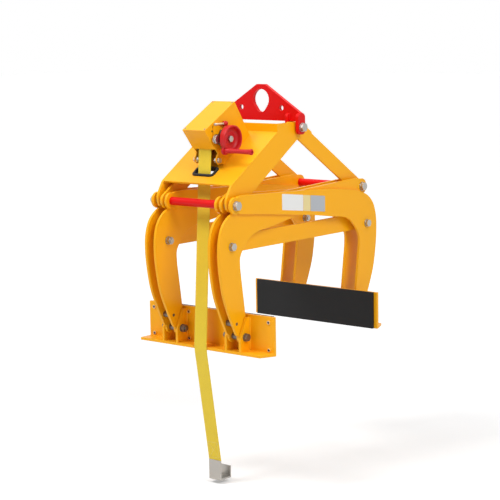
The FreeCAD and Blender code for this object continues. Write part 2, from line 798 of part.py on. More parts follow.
def cross_pins():
    """Crossing pins: each ends in a blind seat in the rear arm's outer plate."""
    radius = cross_pin / 2
    inner = layer(0)[0]
    pin = disc(0, cross_z, radius, inner - washer_thick, layer(6)[0] + plate * blind_share)
    head_high = inner - washer_thick
    head = hexagon(0, cross_z, cross_pin * head_flat_share, head_high - radius, head_high)
    collar = ring(0, cross_z, radius + closing_slack + 2 * sleeve_wall, radius + seat,
                  layer(1)[1] + seat, layer(5)[0] - seat)
    washer = ring(0, cross_z, radius * washer_share, radius, head_high, inner)
    return group(both_sides([fuse([pin, head]), collar, washer]))


def long_bolt(y, z, outer):
    """Through bolt of a side pivot, from the far stack to the near one."""
    return bolt_set(y, z, pivot_bolt, -outer, outer)


def side_tube(y, z, reach):
    """Red tube on a side pivot between the near and far stacks."""
    return ring(y, z, tube_radius, pivot_bolt / 2 + seat, -reach + seat, reach - seat)


def stack_spacers(y, z, size, gaps):
    """Spacers on one bolt line, near and far."""
    solids = [spacer(y, z, size, low + seat, high - seat) for low, high in gaps]
    return both_sides(solids)


def arm_set(inner, outer, prefix, turn, cross_radius, blind):
    """Write the four plates of one jaw's arm."""
    for name, index in (("inner", inner), ("outer", outer)):
        piece = turn(arm_plate(index, cross_radius, blind and index == outer))
        write(prefix + "_arm_" + name + "_near", piece)
        write(prefix + "_arm_" + name + "_far", far(piece))


def both_sides(solids):
    """Solids and their far side copies."""
    return solids + [far(s) for s in solids]


def tie_set(y, inner, outer):
    """Tie rods low between the two plates of an arm, shouldered between them and flush outside."""
    z = cross_z - tie_drop
    rod = disc(y, z, tie_rod / 2, layer(inner)[0], layer(outer)[1])
    shoulder = disc(y, z, tie_shoulder, layer(inner)[1], layer(outer)[0])
    return group(both_sides([fuse([rod, shoulder])]))


# Stay bars

def stay_bar():
    """Stay bar between the arm plates, with the slot for the front arm's bolt."""
    low, high = layer(3)
    front_end = -stay_pivot_out - stay_tail
    rear_end = stay_pivot_out + stay_tail
    points = [(front_end, stay_z - stay_below), (rear_end, stay_z - stay_below),
              (rear_end, stay_z + stay_above), (front_end, stay_z + stay_above)]
    bar = cut_from(points, low, high, stay_corner)
    radius = stay_bolt / 2 + fit
    slot = Part.makeBox(plate + 2 * overrun, stay_travel, 2 * radius,
                        V(low - overrun, -stay_pivot_out, stay_z - radius))
    bar = bar.cut(slot)
    for y in (-stay_pivot_out, -stay_pivot_out + stay_travel, stay_pivot_out):
        bar = bar.cut(disc(y, stay_z, radius, low - overrun, high + overrun))
    return bar


def stay_bolts(y, inner, outer):
    """Stay bar bolts through one jaw's arm plates, with spacers beside the bar."""
    solids = bolt_set(y, stay_z, stay_bolt, layer(inner)[0], layer(outer)[1])
    gaps = [(layer(inner)[1], layer(3)[0]), (layer(3)[1], layer(outer)[0])]
    for low, high in gaps:
        solids.append(spacer(y, stay_z, stay_bolt, low + seat, high - seat))
    return group(both_sides(solids))


# Jaws, drawn as the front jaw

def jaw_body(lug_inner, lug_outer):
    """Jaw plate with its bottom flange and four pivot lugs."""
    face_y = -jaw_pivot_out + jaw_face_out - lining
    back_y = face_y - jaw_plate
    lip_y = -jaw_pivot_out + jaw_face_out - flange_reach
    top, foot = jaw_z + jaw_above, jaw_z - jaw_below
    half = jaw_length / 2
    wall = Part.makeBox(jaw_length, jaw_plate, top - foot, V(-half, back_y, foot))
    cut_y = lip_y + flange_cut_back
    outline = [V(-half, face_y, foot), V(half, face_y, foot), V(half, cut_y, foot),
               V(half - flange_cut, lip_y, foot), V(-half, lip_y, foot)]
    flange = Part.Face(Part.makePolygon(outline + [outline[0]])).extrude(V(0, 0, jaw_plate))
    shelf = foot + jaw_plate
    lean_y = -jaw_pivot_out + jaw_above * lug_lean_share
    lug_points = [(lip_y, shelf), (lip_y, jaw_z), (lean_y, top - jaw_plate),
                  (back_y, top - jaw_plate), (back_y, shelf)]
    lugs = []
    for low in (lug_inner, lug_outer):
        lug = cut_from(lug_points, low, low + lug_thick, sharp=True)
        hole = disc(-jaw_pivot_out, jaw_z, stay_bolt / 2 + fit, low - overrun,
                    low + lug_thick + overrun)
        lugs += both_sides([lug.cut(hole)])
    body = fuse([wall, flange] + lugs)
    for x, z in screw_places(lug_inner):
        hole = Part.makeCylinder(screw / 2 + seat, jaw_plate + 2 * overrun,
                                 V(x, back_y - overrun, z), V(0, 1, 0))
        body = body.cut(hole)
    return body


def screw_places(lug_inner):
    """(x, z) of the lining screws."""
    screw_inner = lug_inner - screw_off_lug
    screw_outer = jaw_length / 2 - screw_end
    top, foot = jaw_z + jaw_above, jaw_z - jaw_below
    xs = (-screw_outer, -screw_inner, screw_inner, screw_outer)
    return [(x, z) for x in xs for z in (top - screw_edge, foot + screw_edge)]


def jaw_lining(lug_inner):
    """Rubber lining on the jaw's gripping side."""
    face_y = -jaw_pivot_out + jaw_face_out
    half = jaw_length / 2 - lining_inset
    foot = jaw_z - jaw_below
    height = jaw_above + jaw_below
    pad = Part.makeBox(2 * half, lining, height, V(-half, face_y - lining, foot))
    for x, z in screw_places(lug_inner):
        pocket = Part.makeCylinder(screw / 2 + seat, lining / 2, V(x, face_y - lining, z), V(0, 1, 0))
        pad = pad.cut(pocket)
    return pad


def jaw_screws(lug_inner):
    """Screws that hold the lining, heads outwards."""
    back_y = -jaw_pivot_out + jaw_face_out - lining - jaw_plate
    solids = []
    rise = screw * screw_head_share
    deep = screw * socket_share
    for x, z in screw_places(lug_inner):
        head = Part.makeCone(screw * screw_neck_share, screw, rise, V(x, back_y - rise, z), V(0, 1, 0))
        shank = Part.makeCylinder(screw / 2, jaw_plate + lining / 2 - seat, V(x, back_y, z), V(0, 1, 0))
        socket = Part.makeCylinder(deep, deep, V(x, back_y - rise, z), V(0, 1, 0))
        solids.append(fuse([head, shank]).cut(socket))
    return group(solids)


def jaw_bolts(y, lug_inner, lug_outer, inner, outer):
    """Jaw pivot bolts through lugs and arm plates, with a spacer between the plates."""
    solids = bolt_set(y, jaw_z, stay_bolt, lug_inner, lug_outer + lug_thick)
    solids.append(spacer(y, jaw_z, stay_bolt, layer(inner)[1] + seat, layer(outer)[0] - seat))
    return group(both_sides(solids))


def build_hanger():
    """Write the red hanger and its pivot bolts."""
    plate_piece = hanger_plate()
    write("hanger_plate", plate_piece)
    for name, piece in (("outer_cheek", outer_cheek(plate_piece)),
                        ("inner_cheek", inner_cheek(plate_piece))):
        write(name + "_near", piece)
        write(name + "_far", far(piece))
    write("top_pivot_bolts", top_bolts())
    write("top_pivot_spacers", top_spacers())


def build_front_link():
    """Write the front link, the winch and the strap."""
    write("front_link_channel", channel())
    piece = inner_link()
    write("front_link_inner_near", piece)
    write("front_link_inner_far", far(piece))
    write("strap_slot_guard", slot_guard())
    side = winch_side()
    write("winch_side_near", side)
    write("winch_side_far", far(side))
    write("winch_cover", winch_cover())
    write("winch_bolts", winch_bolts())
    write("winch_shaft", winch_shaft_piece())
    write("strap_drum", drum())
    write("wound_strap", winding())
    write("ratchet_wheel", ratchet())
    write("hand_wheel", hand_wheel())
    write("wheel_grip", wheel_grip())
    write("pawl", pawl())
    write("pawl_knob", pawl_knob())
    write("strap", strap())
    write("strap_hook", strap_hook())


def build_rear_link():
    """Write the two rear links."""
    piece = rear_link()
    write("rear_link_near", piece)
    write("rear_link_far", far(piece))


def build_arms():
    """Write both jaws' arms, their bolts, tubes and spacers."""
    cross_radius = cross_pin / 2
    arm_set(0, 6, "rear", lambda shape: shape, cross_radius + fit, True)
    arm_set(1, 5, "front", rear, cross_radius + fit + closing_slack, False)
    write("front_side_bolt", group(long_bolt(-link_span, side_z, layer(6)[1])))
    write("rear_side_bolt", group(long_bolt(link_span, side_z, layer(5)[1])))
    write("front_side_tube", side_tube(-link_span, side_z, layer(0)[0]))
    write("rear_side_tube", side_tube(link_span, side_z, layer(1)[0]))
    front_gaps = [(layer(0)[1], layer(2)[0]), (layer(2)[1], layer(4)[0]),
                  (layer(4)[1], layer(6)[0])]
    rear_gaps = [(layer(1)[1], layer(3)[0]), (layer(3)[1], layer(5)[0])]
    write("front_side_spacers", group(stack_spacers(-link_span, side_z, pivot_bolt, front_gaps)))
    write("rear_side_spacers", group(stack_spacers(link_span, side_z, pivot_bolt, rear_gaps)))
    write("cross_pins", cross_pins())
    write("rear_stay_bolts", stay_bolts(stay_pivot_out, 0, 6))
    write("front_stay_bolts", stay_bolts(-stay_pivot_out, 1, 5))
    write("rear_tie_rods", tie_set(tie_out, 0, 6))
    write("front_tie_rods", tie_set(-tie_out, 1, 5))


def build_stay_bars():
    """Write the two stay bars."""
    piece = stay_bar()
    write("stay_bar_near", piece)
    write("stay_bar_far", far(piece))


def build_jaws():
    """Write both jaws."""
    places = {"front": (1, 5, lambda shape: shape, -jaw_pivot_out),
              "rear": (0, 6, rear, jaw_pivot_out)}
    for name, (inner, outer, turn, y) in places.items():
        lug_inner = layer(inner)[0] - lug_gap - lug_thick
        lug_outer = layer(outer)[1] + lug_gap
        write(name + "_jaw", turn(jaw_body(lug_inner, lug_outer)))
        write(name + "_jaw_lining", turn(jaw_lining(lug_inner)))
        write(name + "_jaw_screws", turn(jaw_screws(lug_inner)))
        write(name + "_jaw_bolts", jaw_bolts(y, lug_inner, lug_outer, inner, outer))


build_hanger()
build_front_link()
build_rear_link()
build_arms()
build_stay_bars()
build_jaws()
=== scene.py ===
import json
import logging
import math
from dataclasses import dataclass, replace
from enum import Enum

import bmesh
import bpy
import numpy as np
from bpy.types import ID, Material, Mesh, Node, NodeSocket, NodeTree, Object, World
from mathutils import Matrix, Vector


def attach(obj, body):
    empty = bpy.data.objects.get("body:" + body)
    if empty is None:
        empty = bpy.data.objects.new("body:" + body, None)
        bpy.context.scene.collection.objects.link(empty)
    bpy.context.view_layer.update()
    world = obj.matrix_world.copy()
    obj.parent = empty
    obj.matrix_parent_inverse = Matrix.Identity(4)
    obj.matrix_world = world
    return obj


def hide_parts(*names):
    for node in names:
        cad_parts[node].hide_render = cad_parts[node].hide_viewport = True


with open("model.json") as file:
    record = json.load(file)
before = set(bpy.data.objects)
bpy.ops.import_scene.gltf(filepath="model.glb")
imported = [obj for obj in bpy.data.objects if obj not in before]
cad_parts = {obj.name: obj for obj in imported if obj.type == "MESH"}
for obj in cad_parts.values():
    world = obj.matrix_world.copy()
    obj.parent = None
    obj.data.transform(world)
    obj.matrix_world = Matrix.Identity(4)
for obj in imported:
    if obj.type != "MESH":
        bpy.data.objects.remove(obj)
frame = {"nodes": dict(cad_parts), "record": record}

# Looks of a scissor clamp. Metres, in the clamp's own frame: X along the jaws, Y the gripping
# direction with the front jaw at -Y, Z up, the origin at the top of the eye.

MERGE = 1e-6
SHARP_ANGLE = math.radians(32)
ACROSS = np.array([1.0, 0.0, 0.0])
WHITE = (1.0, 1.0, 1.0, 1.0)
DUST = (0.62, 0.58, 0.5, 1.0)
DRUM = (-0.23785, -0.13616)
Array = np.ndarray
Pair = tuple[float, float]
Triple = tuple[float, float, float]
log = logging.getLogger("clamp")


class Slot(Enum):
    """Finishes that the record names."""

    YELLOW = "yellow_paint"
    RED = "red_paint"
    ZINC = "zinc"
    WEBBING = "webbing"
    RUBBER = "rubber"


class Body(Enum):
    """Moving bodies that carry pieces."""

    HANGER = "hanger"
    FRONT_LINKS = "front_links"
    REEL = "winch_reel"
    PAWL = "winch_pawl"
    REAR_ARMS = "rear_arms"
    FRONT_JAW = "front_jaw"
    REAR_JAW = "rear_jaw"


# Surfaces


@dataclass
class Sweep:
    """Closed sections carried along a path: sections has the shape (count, points, 3)."""

    sections: Array
    looped: bool = False
    uv: Array | None = None

    def faces(self, start: int) -> list[list[int]]:
        """Faces between neighbouring sections, and a lid on each open end.

        Args:
            start: index of the sweep's first point in the mesh.

        Returns:
            Lists of point indices, one for each face.
        """
        count, points = self.sections.shape[:2]
        i = np.arange(count if self.looped else count - 1)[:, None]
        j = np.arange(points)[None, :]
        after, beside = (i + 1) % count, (j + 1) % points
        quads = np.stack([i * points + j, i * points + beside, after * points + beside,
                          after * points + j], axis=-1).reshape(-1, 4) + start
        made = quads.tolist()
        if not self.looped:
            ring = np.arange(points) + start
            made.append(ring[::-1].tolist())
            made.append((ring + (count - 1) * points).tolist())
        return made


def add_object(name: str, data: ID) -> Object:
    """Put a new object with that mesh, curve, light or camera into the scene."""
    made = bpy.data.objects.new(name, data)
    bpy.context.scene.collection.objects.link(made)
    return made


def piece(name: str, sweeps: list[Sweep], body: Body, material: Material) -> Object:
    """Turn sweeps into one smooth, outward-facing piece that rides on a body.

    Args:
        name: the piece's name.
        sweeps: the closed surfaces that make it.
        body: the body that it moves with.
        material: its material.

    Returns:
        The new object, whose place is in its mesh.
    """
    points, faces, start = [], [], 0
    for sweep in sweeps:
        points.append(sweep.sections.reshape(-1, 3))
        faces += sweep.faces(start)
        start += len(points[-1])
    mesh = bpy.data.meshes.new(name)
    mesh.from_pydata(np.concatenate(points).tolist(), [], faces)
    if sweeps[0].uv is not None:
        lay_uv(mesh, np.concatenate([sweep.uv.reshape(-1, 2) for sweep in sweeps]))
    shell = bmesh.new()
    shell.from_mesh(mesh)
    bmesh.ops.remove_doubles(shell, verts=shell.verts, dist=MERGE)
    bmesh.ops.recalc_face_normals(shell, faces=shell.faces)
    shell.to_mesh(mesh)
    shell.free()
    mesh.shade_smooth()
    mesh.set_sharp_from_angle(angle=SHARP_ANGLE)
    made = add_object(name, mesh)
    mesh.materials.append(material)
    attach(made, body.value)
    log.info("%s: %d points on %s", name, len(mesh.vertices), body.value)
    return made


def lay_uv(mesh: Mesh, uv: Array) -> None:
    """Give each face corner the pair of its point.

    Args:
        mesh: the mesh to lay the map on.
        uv: one (across, along) pair in metres for each point.
    """
    layer = mesh.uv_layers.new(name="weave")
    corner = np.empty(len(mesh.loops), np.int32)
    mesh.loops.foreach_get("vertex_index", corner)
    layer.data.foreach_set("uv", uv[corner].astype(np.float32).ravel())


def turn(count: int) -> Array:
    """Even angles round a whole turn."""
    return np.linspace(0, 2 * np.pi, count, endpoint=False)


def circle(radius: float, points: int) -> Array:
    """Round profile: radius times the cosine and sine of even angles.

    Args:
        radius: the circle's radius.
        points: how many points it has.

    Returns:
        Array of (points, 2).
    """
    angle = turn(points)
    return radius * np.stack([np.cos(angle), np.sin(angle)], axis=1)


def pillow(half_u: float, half_v: float, power: float, points: int) -> Array:
    """Superellipse profile: each coordinate is a half size times the signed power of a cosine or
    sine, so a power of 2 is an ellipse and a higher one is a rounded block.

    Args:
        half_u: half size across.
        half_v: half size up.
        power: how square the profile is.
        points: how many points it has.

    Returns:
        Array of (points, 2).
    """
    angle = turn(points)
    c, s = np.cos(angle), np.sin(angle)
    u = half_u * np.sign(c) * np.abs(c) ** (2 / power)
    v = half_v * np.sign(s) * np.abs(s) ** (2 / power)
    return np.stack([u, v], axis=1)


def carry(profile: Array, path: Array, side: Array, looped: bool = False) -> Array:
    """Carry a profile along a path: each point is the path's point plus u times the side direction
    plus v times the direction square to both the side and the path's tangent.

    Args:
        profile: (points, 2), or (count, points, 2) where it changes along the path.
        path: (count, 3) points.
        side: direction of the profile's u, one for all or one for each point.
        looped: whether the path closes on itself.

    Returns:
        Sections of the shape (count, points, 3).
    """
    if looped:
        tangent = np.roll(path, -1, axis=0) - np.roll(path, 1, axis=0)
    else:
        tangent = np.gradient(path, axis=0)
    tangent /= np.linalg.norm(tangent, axis=1, keepdims=True)
    side = np.broadcast_to(np.asarray(side, float), path.shape)
    side = side - (side * tangent).sum(1, keepdims=True) * tangent
    side /= np.linalg.norm(side, axis=1, keepdims=True)
    square = np.cross(tangent, side)
    profile = np.broadcast_to(profile, (len(path),) + profile.shape[-2:])
    return path[:, None] + profile[..., :1] * side[:, None] + profile[..., 1:] * square[:, None]


def lathe(profile: Array, y: float, z: float, steps: int = 96) -> Sweep:
    """Turn a closed profile of (x, radius) pairs round an axis along X: the section at an angle
    has y plus radius times its cosine, and z plus radius times its sine.

    Args:
        profile: (points, 2) pairs of x and radius.
        y: the axis's place in Y.
        z: the axis's place in Z.
        steps: sections round the axis.

    Returns:
        A looped sweep.
    """
    angle = turn(steps)[:, None]
    x = np.broadcast_to(profile[:, 0], (steps, len(profile)))
    return Sweep(np.stack([x, y + profile[:, 1] * np.cos(angle), z + profile[:, 1] * np.sin(angle)],
                          axis=-1), looped=True)


def layers(outline: Array, axis: int, places: Array) -> Sweep:
    """Carry a flat outline straight along an axis, with a section at each place.

    Args:
        outline: (points, 2) pairs of the other two coordinates.
        axis: 0 for X, 1 for Y.
        places: the sections' places on that axis.

    Returns:
        The sweep.
    """
    return Sweep(np.stack([np.insert(outline, axis, place, axis=1) for place in places]))


def softened(corners: list[Pair], radius: float, steps: int) -> Array:
    """Closed profile whose corners are parabolic roundings: a point is the corner's blend
    (1-t)^2 start + 2t(1-t) corner + t^2 end, between points one radius away along both runs.

    Args:
        corners: the outline's corners.
        radius: how far from each corner its rounding starts, at most 0.45 of a run.
        steps: points in a rounding.

    Returns:
        Array of (corners * steps, 2).
    """
    at = np.array(corners, float)
    before, after = np.roll(at, 1, axis=0) - at, np.roll(at, -1, axis=0) - at
    length_b = np.linalg.norm(before, axis=1, keepdims=True)
    length_a = np.linalg.norm(after, axis=1, keepdims=True)
    start = at + before / length_b * np.minimum(radius, 0.45 * length_b)
    end = at + after / length_a * np.minimum(radius, 0.45 * length_a)
    t = np.linspace(0, 1, steps)[None, :, None]
    arc = (1 - t) ** 2 * start[:, None] + 2 * t * (1 - t) * at[:, None] + t ** 2 * end[:, None]
    return arc.reshape(-1, 2)


# Shader nodes and finishes


class Nodes:
    """A node tree and short ways to fill it."""

    def __init__(self, tree: NodeTree) -> None:
        """Keep the tree."""
        self.tree = tree

    @classmethod
    def fresh(cls, owner: Material | World) -> "Nodes":
        """Empty the tree of a new material or world.

        Args:
            owner: the material or world.

        Returns:
            Its nodes.
        """
        owner.use_nodes = True
        owner.node_tree.nodes.clear()
        return cls(owner.node_tree)

    def add(self, kind: str, settings: dict[str, object] | None = None, **links: object) -> Node:
        """Add a node, set its properties, and feed its inputs with sockets or plain values.

        Args:
            kind: the node's type without its prefix, or a group's name after "group:".
            settings: the node's own properties.
            **links: input to socket or value. Underscores stand for spaces, i0 and i1 for numbers.

        Returns:
            The new node.
        """
        if kind.startswith("group:"):
            node = self.tree.nodes.new("ShaderNodeGroup")
            node.node_tree = bpy.data.node_groups[kind.removeprefix("group:")]
        else:
            node = self.tree.nodes.new("ShaderNode" + kind)
        for key, value in (settings or {}).items():
            setattr(node, key, value)
        for key, value in links.items():
            numbered = key[0] == "i" and key[1:].isdigit()
            socket = node.inputs[int(key[1:]) if numbered else key.replace("_", " ")]
            if isinstance(value, NodeSocket):
                self.tree.links.new(value, socket)
            else:
                socket.default_value = value
        return node

    def maths(self, operation: str, first: object, second: object,
              clamp: bool = False) -> NodeSocket:
        """Result of one step of arithmetic on two sockets or numbers."""
        settings = {"operation": operation, "use_clamp": clamp}
        return self.add("Math", settings, i0=first, i1=second).outputs[0]

    def mix(self, amount: NodeSocket, first: object, second: object) -> NodeSocket:
        """Mix of two colours or colour sockets, by an amount from 0 to 1."""
        return self.add("Mix", {"data_type": "RGBA"}, i0=amount, i6=first, i7=second).outputs[2]

    def noise(self, place: NodeSocket, scale: object, detail: float,
              roughness: float = 0.5) -> NodeSocket:
        """Value of a noise texture at a place."""
        made = self.add("TexNoise", Vector=place, Scale=scale, Detail=detail, Roughness=roughness)
        return made.outputs["Fac"]

    def span(self, value: NodeSocket, **limits: float) -> NodeSocket:
        """Value carried from one range to another, between the limits of Map Range."""
        return self.add("MapRange", Value=value, **limits).outputs["Result"]

    def shown_rays(self) -> NodeSocket:
        """Pick the camera's own rays and those seen in a reflection or through glass.

        Returns:
            A socket that is one for those rays and nought for others.
        """
        path = self.add("LightPath").outputs
        seen = self.maths("MAXIMUM", path["Is Camera Ray"], path["Is Glossy Ray"])
        return self.maths("MAXIMUM", seen, path["Is Transmission Ray"])


class Group(Nodes):
    """One shader node group with named inputs and outputs, whose first input is Vector."""

    def __init__(self, name: str, inputs: dict[str, float], *outputs: str) -> None:
        """Make the group and its sockets.

        Args:
            name: the group's name.
            inputs: value input to its default.
            *outputs: the outputs' names. Normal is a vector, and the others are values.
        """
        super().__init__(bpy.data.node_groups.new(name, "ShaderNodeTree"))
        new = self.tree.interface.new_socket
        new(name="Vector", in_out="INPUT", socket_type="NodeSocketVector")
        for label, value in inputs.items():
            new(name=label, in_out="INPUT", socket_type="NodeSocketFloat").default_value = value
        for label in outputs:
            kind = "NodeSocketVector" if label == "Normal" else "NodeSocketFloat"
            new(name=label, in_out="OUTPUT", socket_type=kind)
        self.taken = self.tree.nodes.new("NodeGroupInput").outputs
        self.given = self.tree.nodes.new("NodeGroupOutput").inputs

    def give(self, **sockets: NodeSocket) -> None:
        """Link sockets to the group's outputs of those names."""
        for label, socket in sockets.items():
            self.tree.links.new(socket, self.given[label])


def make_edge_group() -> None:
    """Edge wear and painted highlight: how far the rounded normal leans from the flat one marks the
    edges, where a finish mixes in its lighter edge colour as painted highlight and some wear, and
    the rounded normal lets them catch the light."""
    group = Group("edge_wear", {"Radius": 0.001, "Gain": 4.0, "Grain": 60.0}, "Mask", "Normal")
    rounded = group.add("Bevel", {"samples": 4}, Radius=group.taken["Radius"]).outputs["Normal"]
    flat = group.add("NewGeometry").outputs["Normal"]
    lean = group.add("VectorMath", {"operation": "DOT_PRODUCT"}, i0=rounded, i1=flat)
    away = group.maths("SUBTRACT", 1.0, lean.outputs["Value"])
    patch = group.noise(group.taken["Vector"], group.taken["Grain"], 3.0)
    uneven = group.maths("MULTIPLY", away, patch)
    mask = group.maths("MULTIPLY", uneven, group.taken["Gain"], clamp=True)
    group.give(Mask=mask, Normal=rounded)


def make_grain_group() -> None:
    """Grain: fine noise for the height, slow noise for the tone, both on the given coordinates."""
    group = Group("grain", {"Fine": 900.0, "Slow": 7.0}, "Height", "Tone")
    group.give(Height=group.noise(group.taken["Vector"], group.taken["Fine"], 2.0),
               Tone=group.noise(group.taken["Vector"], group.taken["Slow"], 4.0, 0.6))


def make_dust_group() -> None:
    """Dust: faces that look up, where a patchy noise lets it lie."""
    group = Group("dust", {"Amount": 0.2}, "Mask")
    axes = group.add("SeparateXYZ", Vector=group.add("NewGeometry").outputs["Normal"])
    up = group.span(axes.outputs["Z"], From_Min=0.3)
    lies = group.maths("MULTIPLY", up, group.noise(group.taken["Vector"], 38.0, 6.0, 0.65))
    group.give(Mask=group.maths("MULTIPLY", lies, group.taken["Amount"], clamp=True))


def make_weave_group() -> None:
    """Weave: ribs along the webbing, broken by picks across it that shift by half a pick from one
    rib to the next, and darker selvedges."""
    group = Group("weave", {"Ribs": 520.0, "Picks": 300.0, "Half": 0.025},
                  "Height", "Shade", "Edge")
    axes = group.add("SeparateXYZ", Vector=group.taken["Vector"]).outputs
    sums = group.maths
    across = sums("MULTIPLY", axes["X"], group.taken["Ribs"])
    rib = sums("PINGPONG", across, 1.0)
    odd = sums("MULTIPLY", sums("FLOORED_MODULO", sums("FLOOR", across, 0.0), 2.0), 0.5)
    along = sums("ADD", sums("MULTIPLY", axes["Y"], group.taken["Picks"]), odd)
    pick = sums("PINGPONG", along, 0.5)
    height = sums("ADD", sums("MULTIPLY", rib, 0.6), sums("MULTIPLY", pick, 0.9))
    out = sums("SUBTRACT", sums("ABSOLUTE", axes["X"], 0.0), group.taken["Half"])
    group.give(Height=height, Shade=sums("MULTIPLY", rib, pick),
               Edge=group.span(out, From_Min=-0.0035, From_Max=-0.001))


@dataclass(frozen=True)
class Finish:
    """A finish: its name, its colour and the lighter colour mixed in at its edges as painted
    highlight and some wear, and how rough and even it is.
    """

    name: str
    colour: Triple
    # The lighter colour mixed in at the edges: painted highlight and some wear.
    light: Triple
    roughness: float
    swing: float = 0.08
    metallic: float = 0.0
    coat: float = 0.0
    coat_roughness: float = 0.22
    gloss: float = 0.5
    fine: float = 900.0
    bump: float = 0.00003
    spread: float = 0.06
    edge: float = 0.0011
    edge_gain: float = 3.0
    dust: float = 0.0

    def build(self) -> Material:
        """Make the material: a colour that varies by the spread round the plain one, grain in
        height and roughness, lighter edges as painted highlight and some wear, a little dust.

        Returns:
            The new material.
        """
        made = bpy.data.materials.new(self.name)
        nodes = Nodes.fresh(made)
        place = nodes.add("TexCoord").outputs["Object"]
        grain = nodes.add("group:grain", Vector=place, Fine=self.fine).outputs
        edge = nodes.add("group:edge_wear", Vector=place, Radius=self.edge,
                         Gain=self.edge_gain).outputs
        low, high = (tuple(min(1.0, c * (1 + side * self.spread)) for c in self.colour) + (1.0,)
                     for side in (-1, 1))
        colour = nodes.mix(grain["Tone"], low, high)
        # Painted highlight and wear: the lighter edge colour where the edge mask is high.
        highlit_and_worn = nodes.mix(edge["Mask"], colour, (*self.light, 1.0))
        if self.dust > 0:
            dust = nodes.add("group:dust", Vector=place, Amount=self.dust)
            highlit_and_worn = nodes.mix(dust.outputs["Mask"], highlit_and_worn, DUST)
        rough = nodes.span(grain["Tone"], To_Min=self.roughness - self.swing,
                           To_Max=self.roughness + self.swing)
        bump = nodes.add("Bump", Strength=1.0, Distance=self.bump, Height=grain["Height"],
                         Normal=edge["Normal"])
        shader = nodes.add("BsdfPrincipled", Base_Color=highlit_and_worn, Metallic=self.metallic,
                           Roughness=rough, Normal=bump.outputs["Normal"], Coat_Weight=self.coat,
                           Coat_Roughness=self.coat_roughness, Specular_IOR_Level=self.gloss)
        nodes.add("OutputMaterial", Surface=shader.outputs["BSDF"])
        return made


@dataclass(frozen=True)
class Webbing:
    """Woven webbing, whose pattern follows the strap's own map."""

    name: str
    colour: Triple = (1.0, 0.74, 0.026)
    shade: Triple = (0.78, 0.55, 0.016)
    half: float = 0.025
    roughness: float = 0.78
    sheen: float = 0.25
    bump: float = 0.0005
    bump_strength: float = 0.8
    fine: float = 2600.0
    slow: float = 24.0
    soil: float = 0.3

    def build(self) -> Material:
        """Make the material: ribs and picks in colour and height, soiled patches, darker edges.

        Returns:
            The new material.
        """
        made = bpy.data.materials.new(self.name)
        nodes = Nodes.fresh(made)
        place = nodes.add("UVMap", {"uv_map": "weave"}).outputs["UV"]
        weave = nodes.add("group:weave", Vector=place, Half=self.half).outputs
        grain = nodes.add("group:grain", Vector=place, Fine=self.fine, Slow=self.slow)
        yarn = nodes.span(weave["Shade"], From_Max=0.35)
        soil = nodes.span(grain.outputs["Tone"], From_Min=0.35, From_Max=0.75, To_Max=self.soil)
        shade = (*self.shade, 1.0)
        base = nodes.mix(yarn, shade, (*self.colour, 1.0))
        base = nodes.mix(weave["Edge"], nodes.mix(soil, base, shade), shade)
        bump = nodes.add("Bump", Strength=self.bump_strength, Distance=self.bump,
                         Height=weave["Height"])
        shader = nodes.add("BsdfPrincipled", Base_Color=base, Roughness=self.roughness,
                           Normal=bump.outputs["Normal"], Sheen_Weight=self.sheen)
        nodes.add("OutputMaterial", Surface=shader.outputs["BSDF"])
        return made


YELLOW = Finish("yellow_powder_coat", (0.98, 0.44, 0.003), (1.0, 0.64, 0.1), 0.36, coat=0.05,
                gloss=0.22, spread=0.03, dust=0.03)
RED = Finish("red_powder_coat", (0.74, 0.003, 0.004), (0.88, 0.08, 0.06), 0.34, coat=0.04,
             gloss=0.18, spread=0.05, dust=0.01)
GRIP_RED = Finish("moulded_red", (0.56, 0.006, 0.01), (0.75, 0.12, 0.1), 0.42, fine=1600.0,
                  bump=0.00004, spread=0.04, edge=0.0006, gloss=0.35)
ZINC = Finish("zinc_plate", (0.44, 0.42, 0.39), (0.7, 0.68, 0.64), 0.32, metallic=1.0,
              fine=2200.0, bump=0.00002, spread=0.16, edge=0.0006, edge_gain=5.0)
# Darker, duller zinc: partly painted shade for bolts that lie in shade, partly a duller finish.
DARK_ZINC = Finish("dull_shaded_zinc", (0.2, 0.175, 0.15), (0.45, 0.4, 0.34), 0.42, metallic=0.85,
                   fine=2200.0, bump=0.00003, spread=0.2, edge=0.0004, edge_gain=4.0)
RUBBER = Finish("black_rubber", (0.009, 0.009, 0.0095), (0.03, 0.03, 0.03), 0.68, fine=2600.0,
                bump=0.00012, spread=0.2, edge=0.0008, gloss=0.3, dust=0.08)
BLANK_WHITE = Finish("blank_plate_white", (0.82, 0.82, 0.8), (0.9, 0.9, 0.9), 0.4, fine=3000.0,
                     bump=0.00001, spread=0.03, edge=0.0002)
BLANK_CREAM = replace(BLANK_WHITE, name="blank_plate_cream", colour=(0.8, 0.66, 0.3),
                      light=(0.85, 0.75, 0.5))
BLANK_GREY = replace(BLANK_WHITE, name="blank_plate_grey", colour=(0.42, 0.44, 0.47),
                     light=(0.6, 0.6, 0.62), roughness=0.36, metallic=0.4, spread=0.05)
THREAD = Finish("pale_thread", (0.75, 0.68, 0.3), (0.8, 0.75, 0.45), 0.8, fine=4000.0, bump=0.0001,
                edge=0.0001)
MOULDED_NODES = ("wheel_grip", "pawl_knob")
# Nodes that take the darker zinc, partly as painted shade.
DULL_SHADED_NODE_ENDINGS = ("tie_rods", "jaw_bolts")


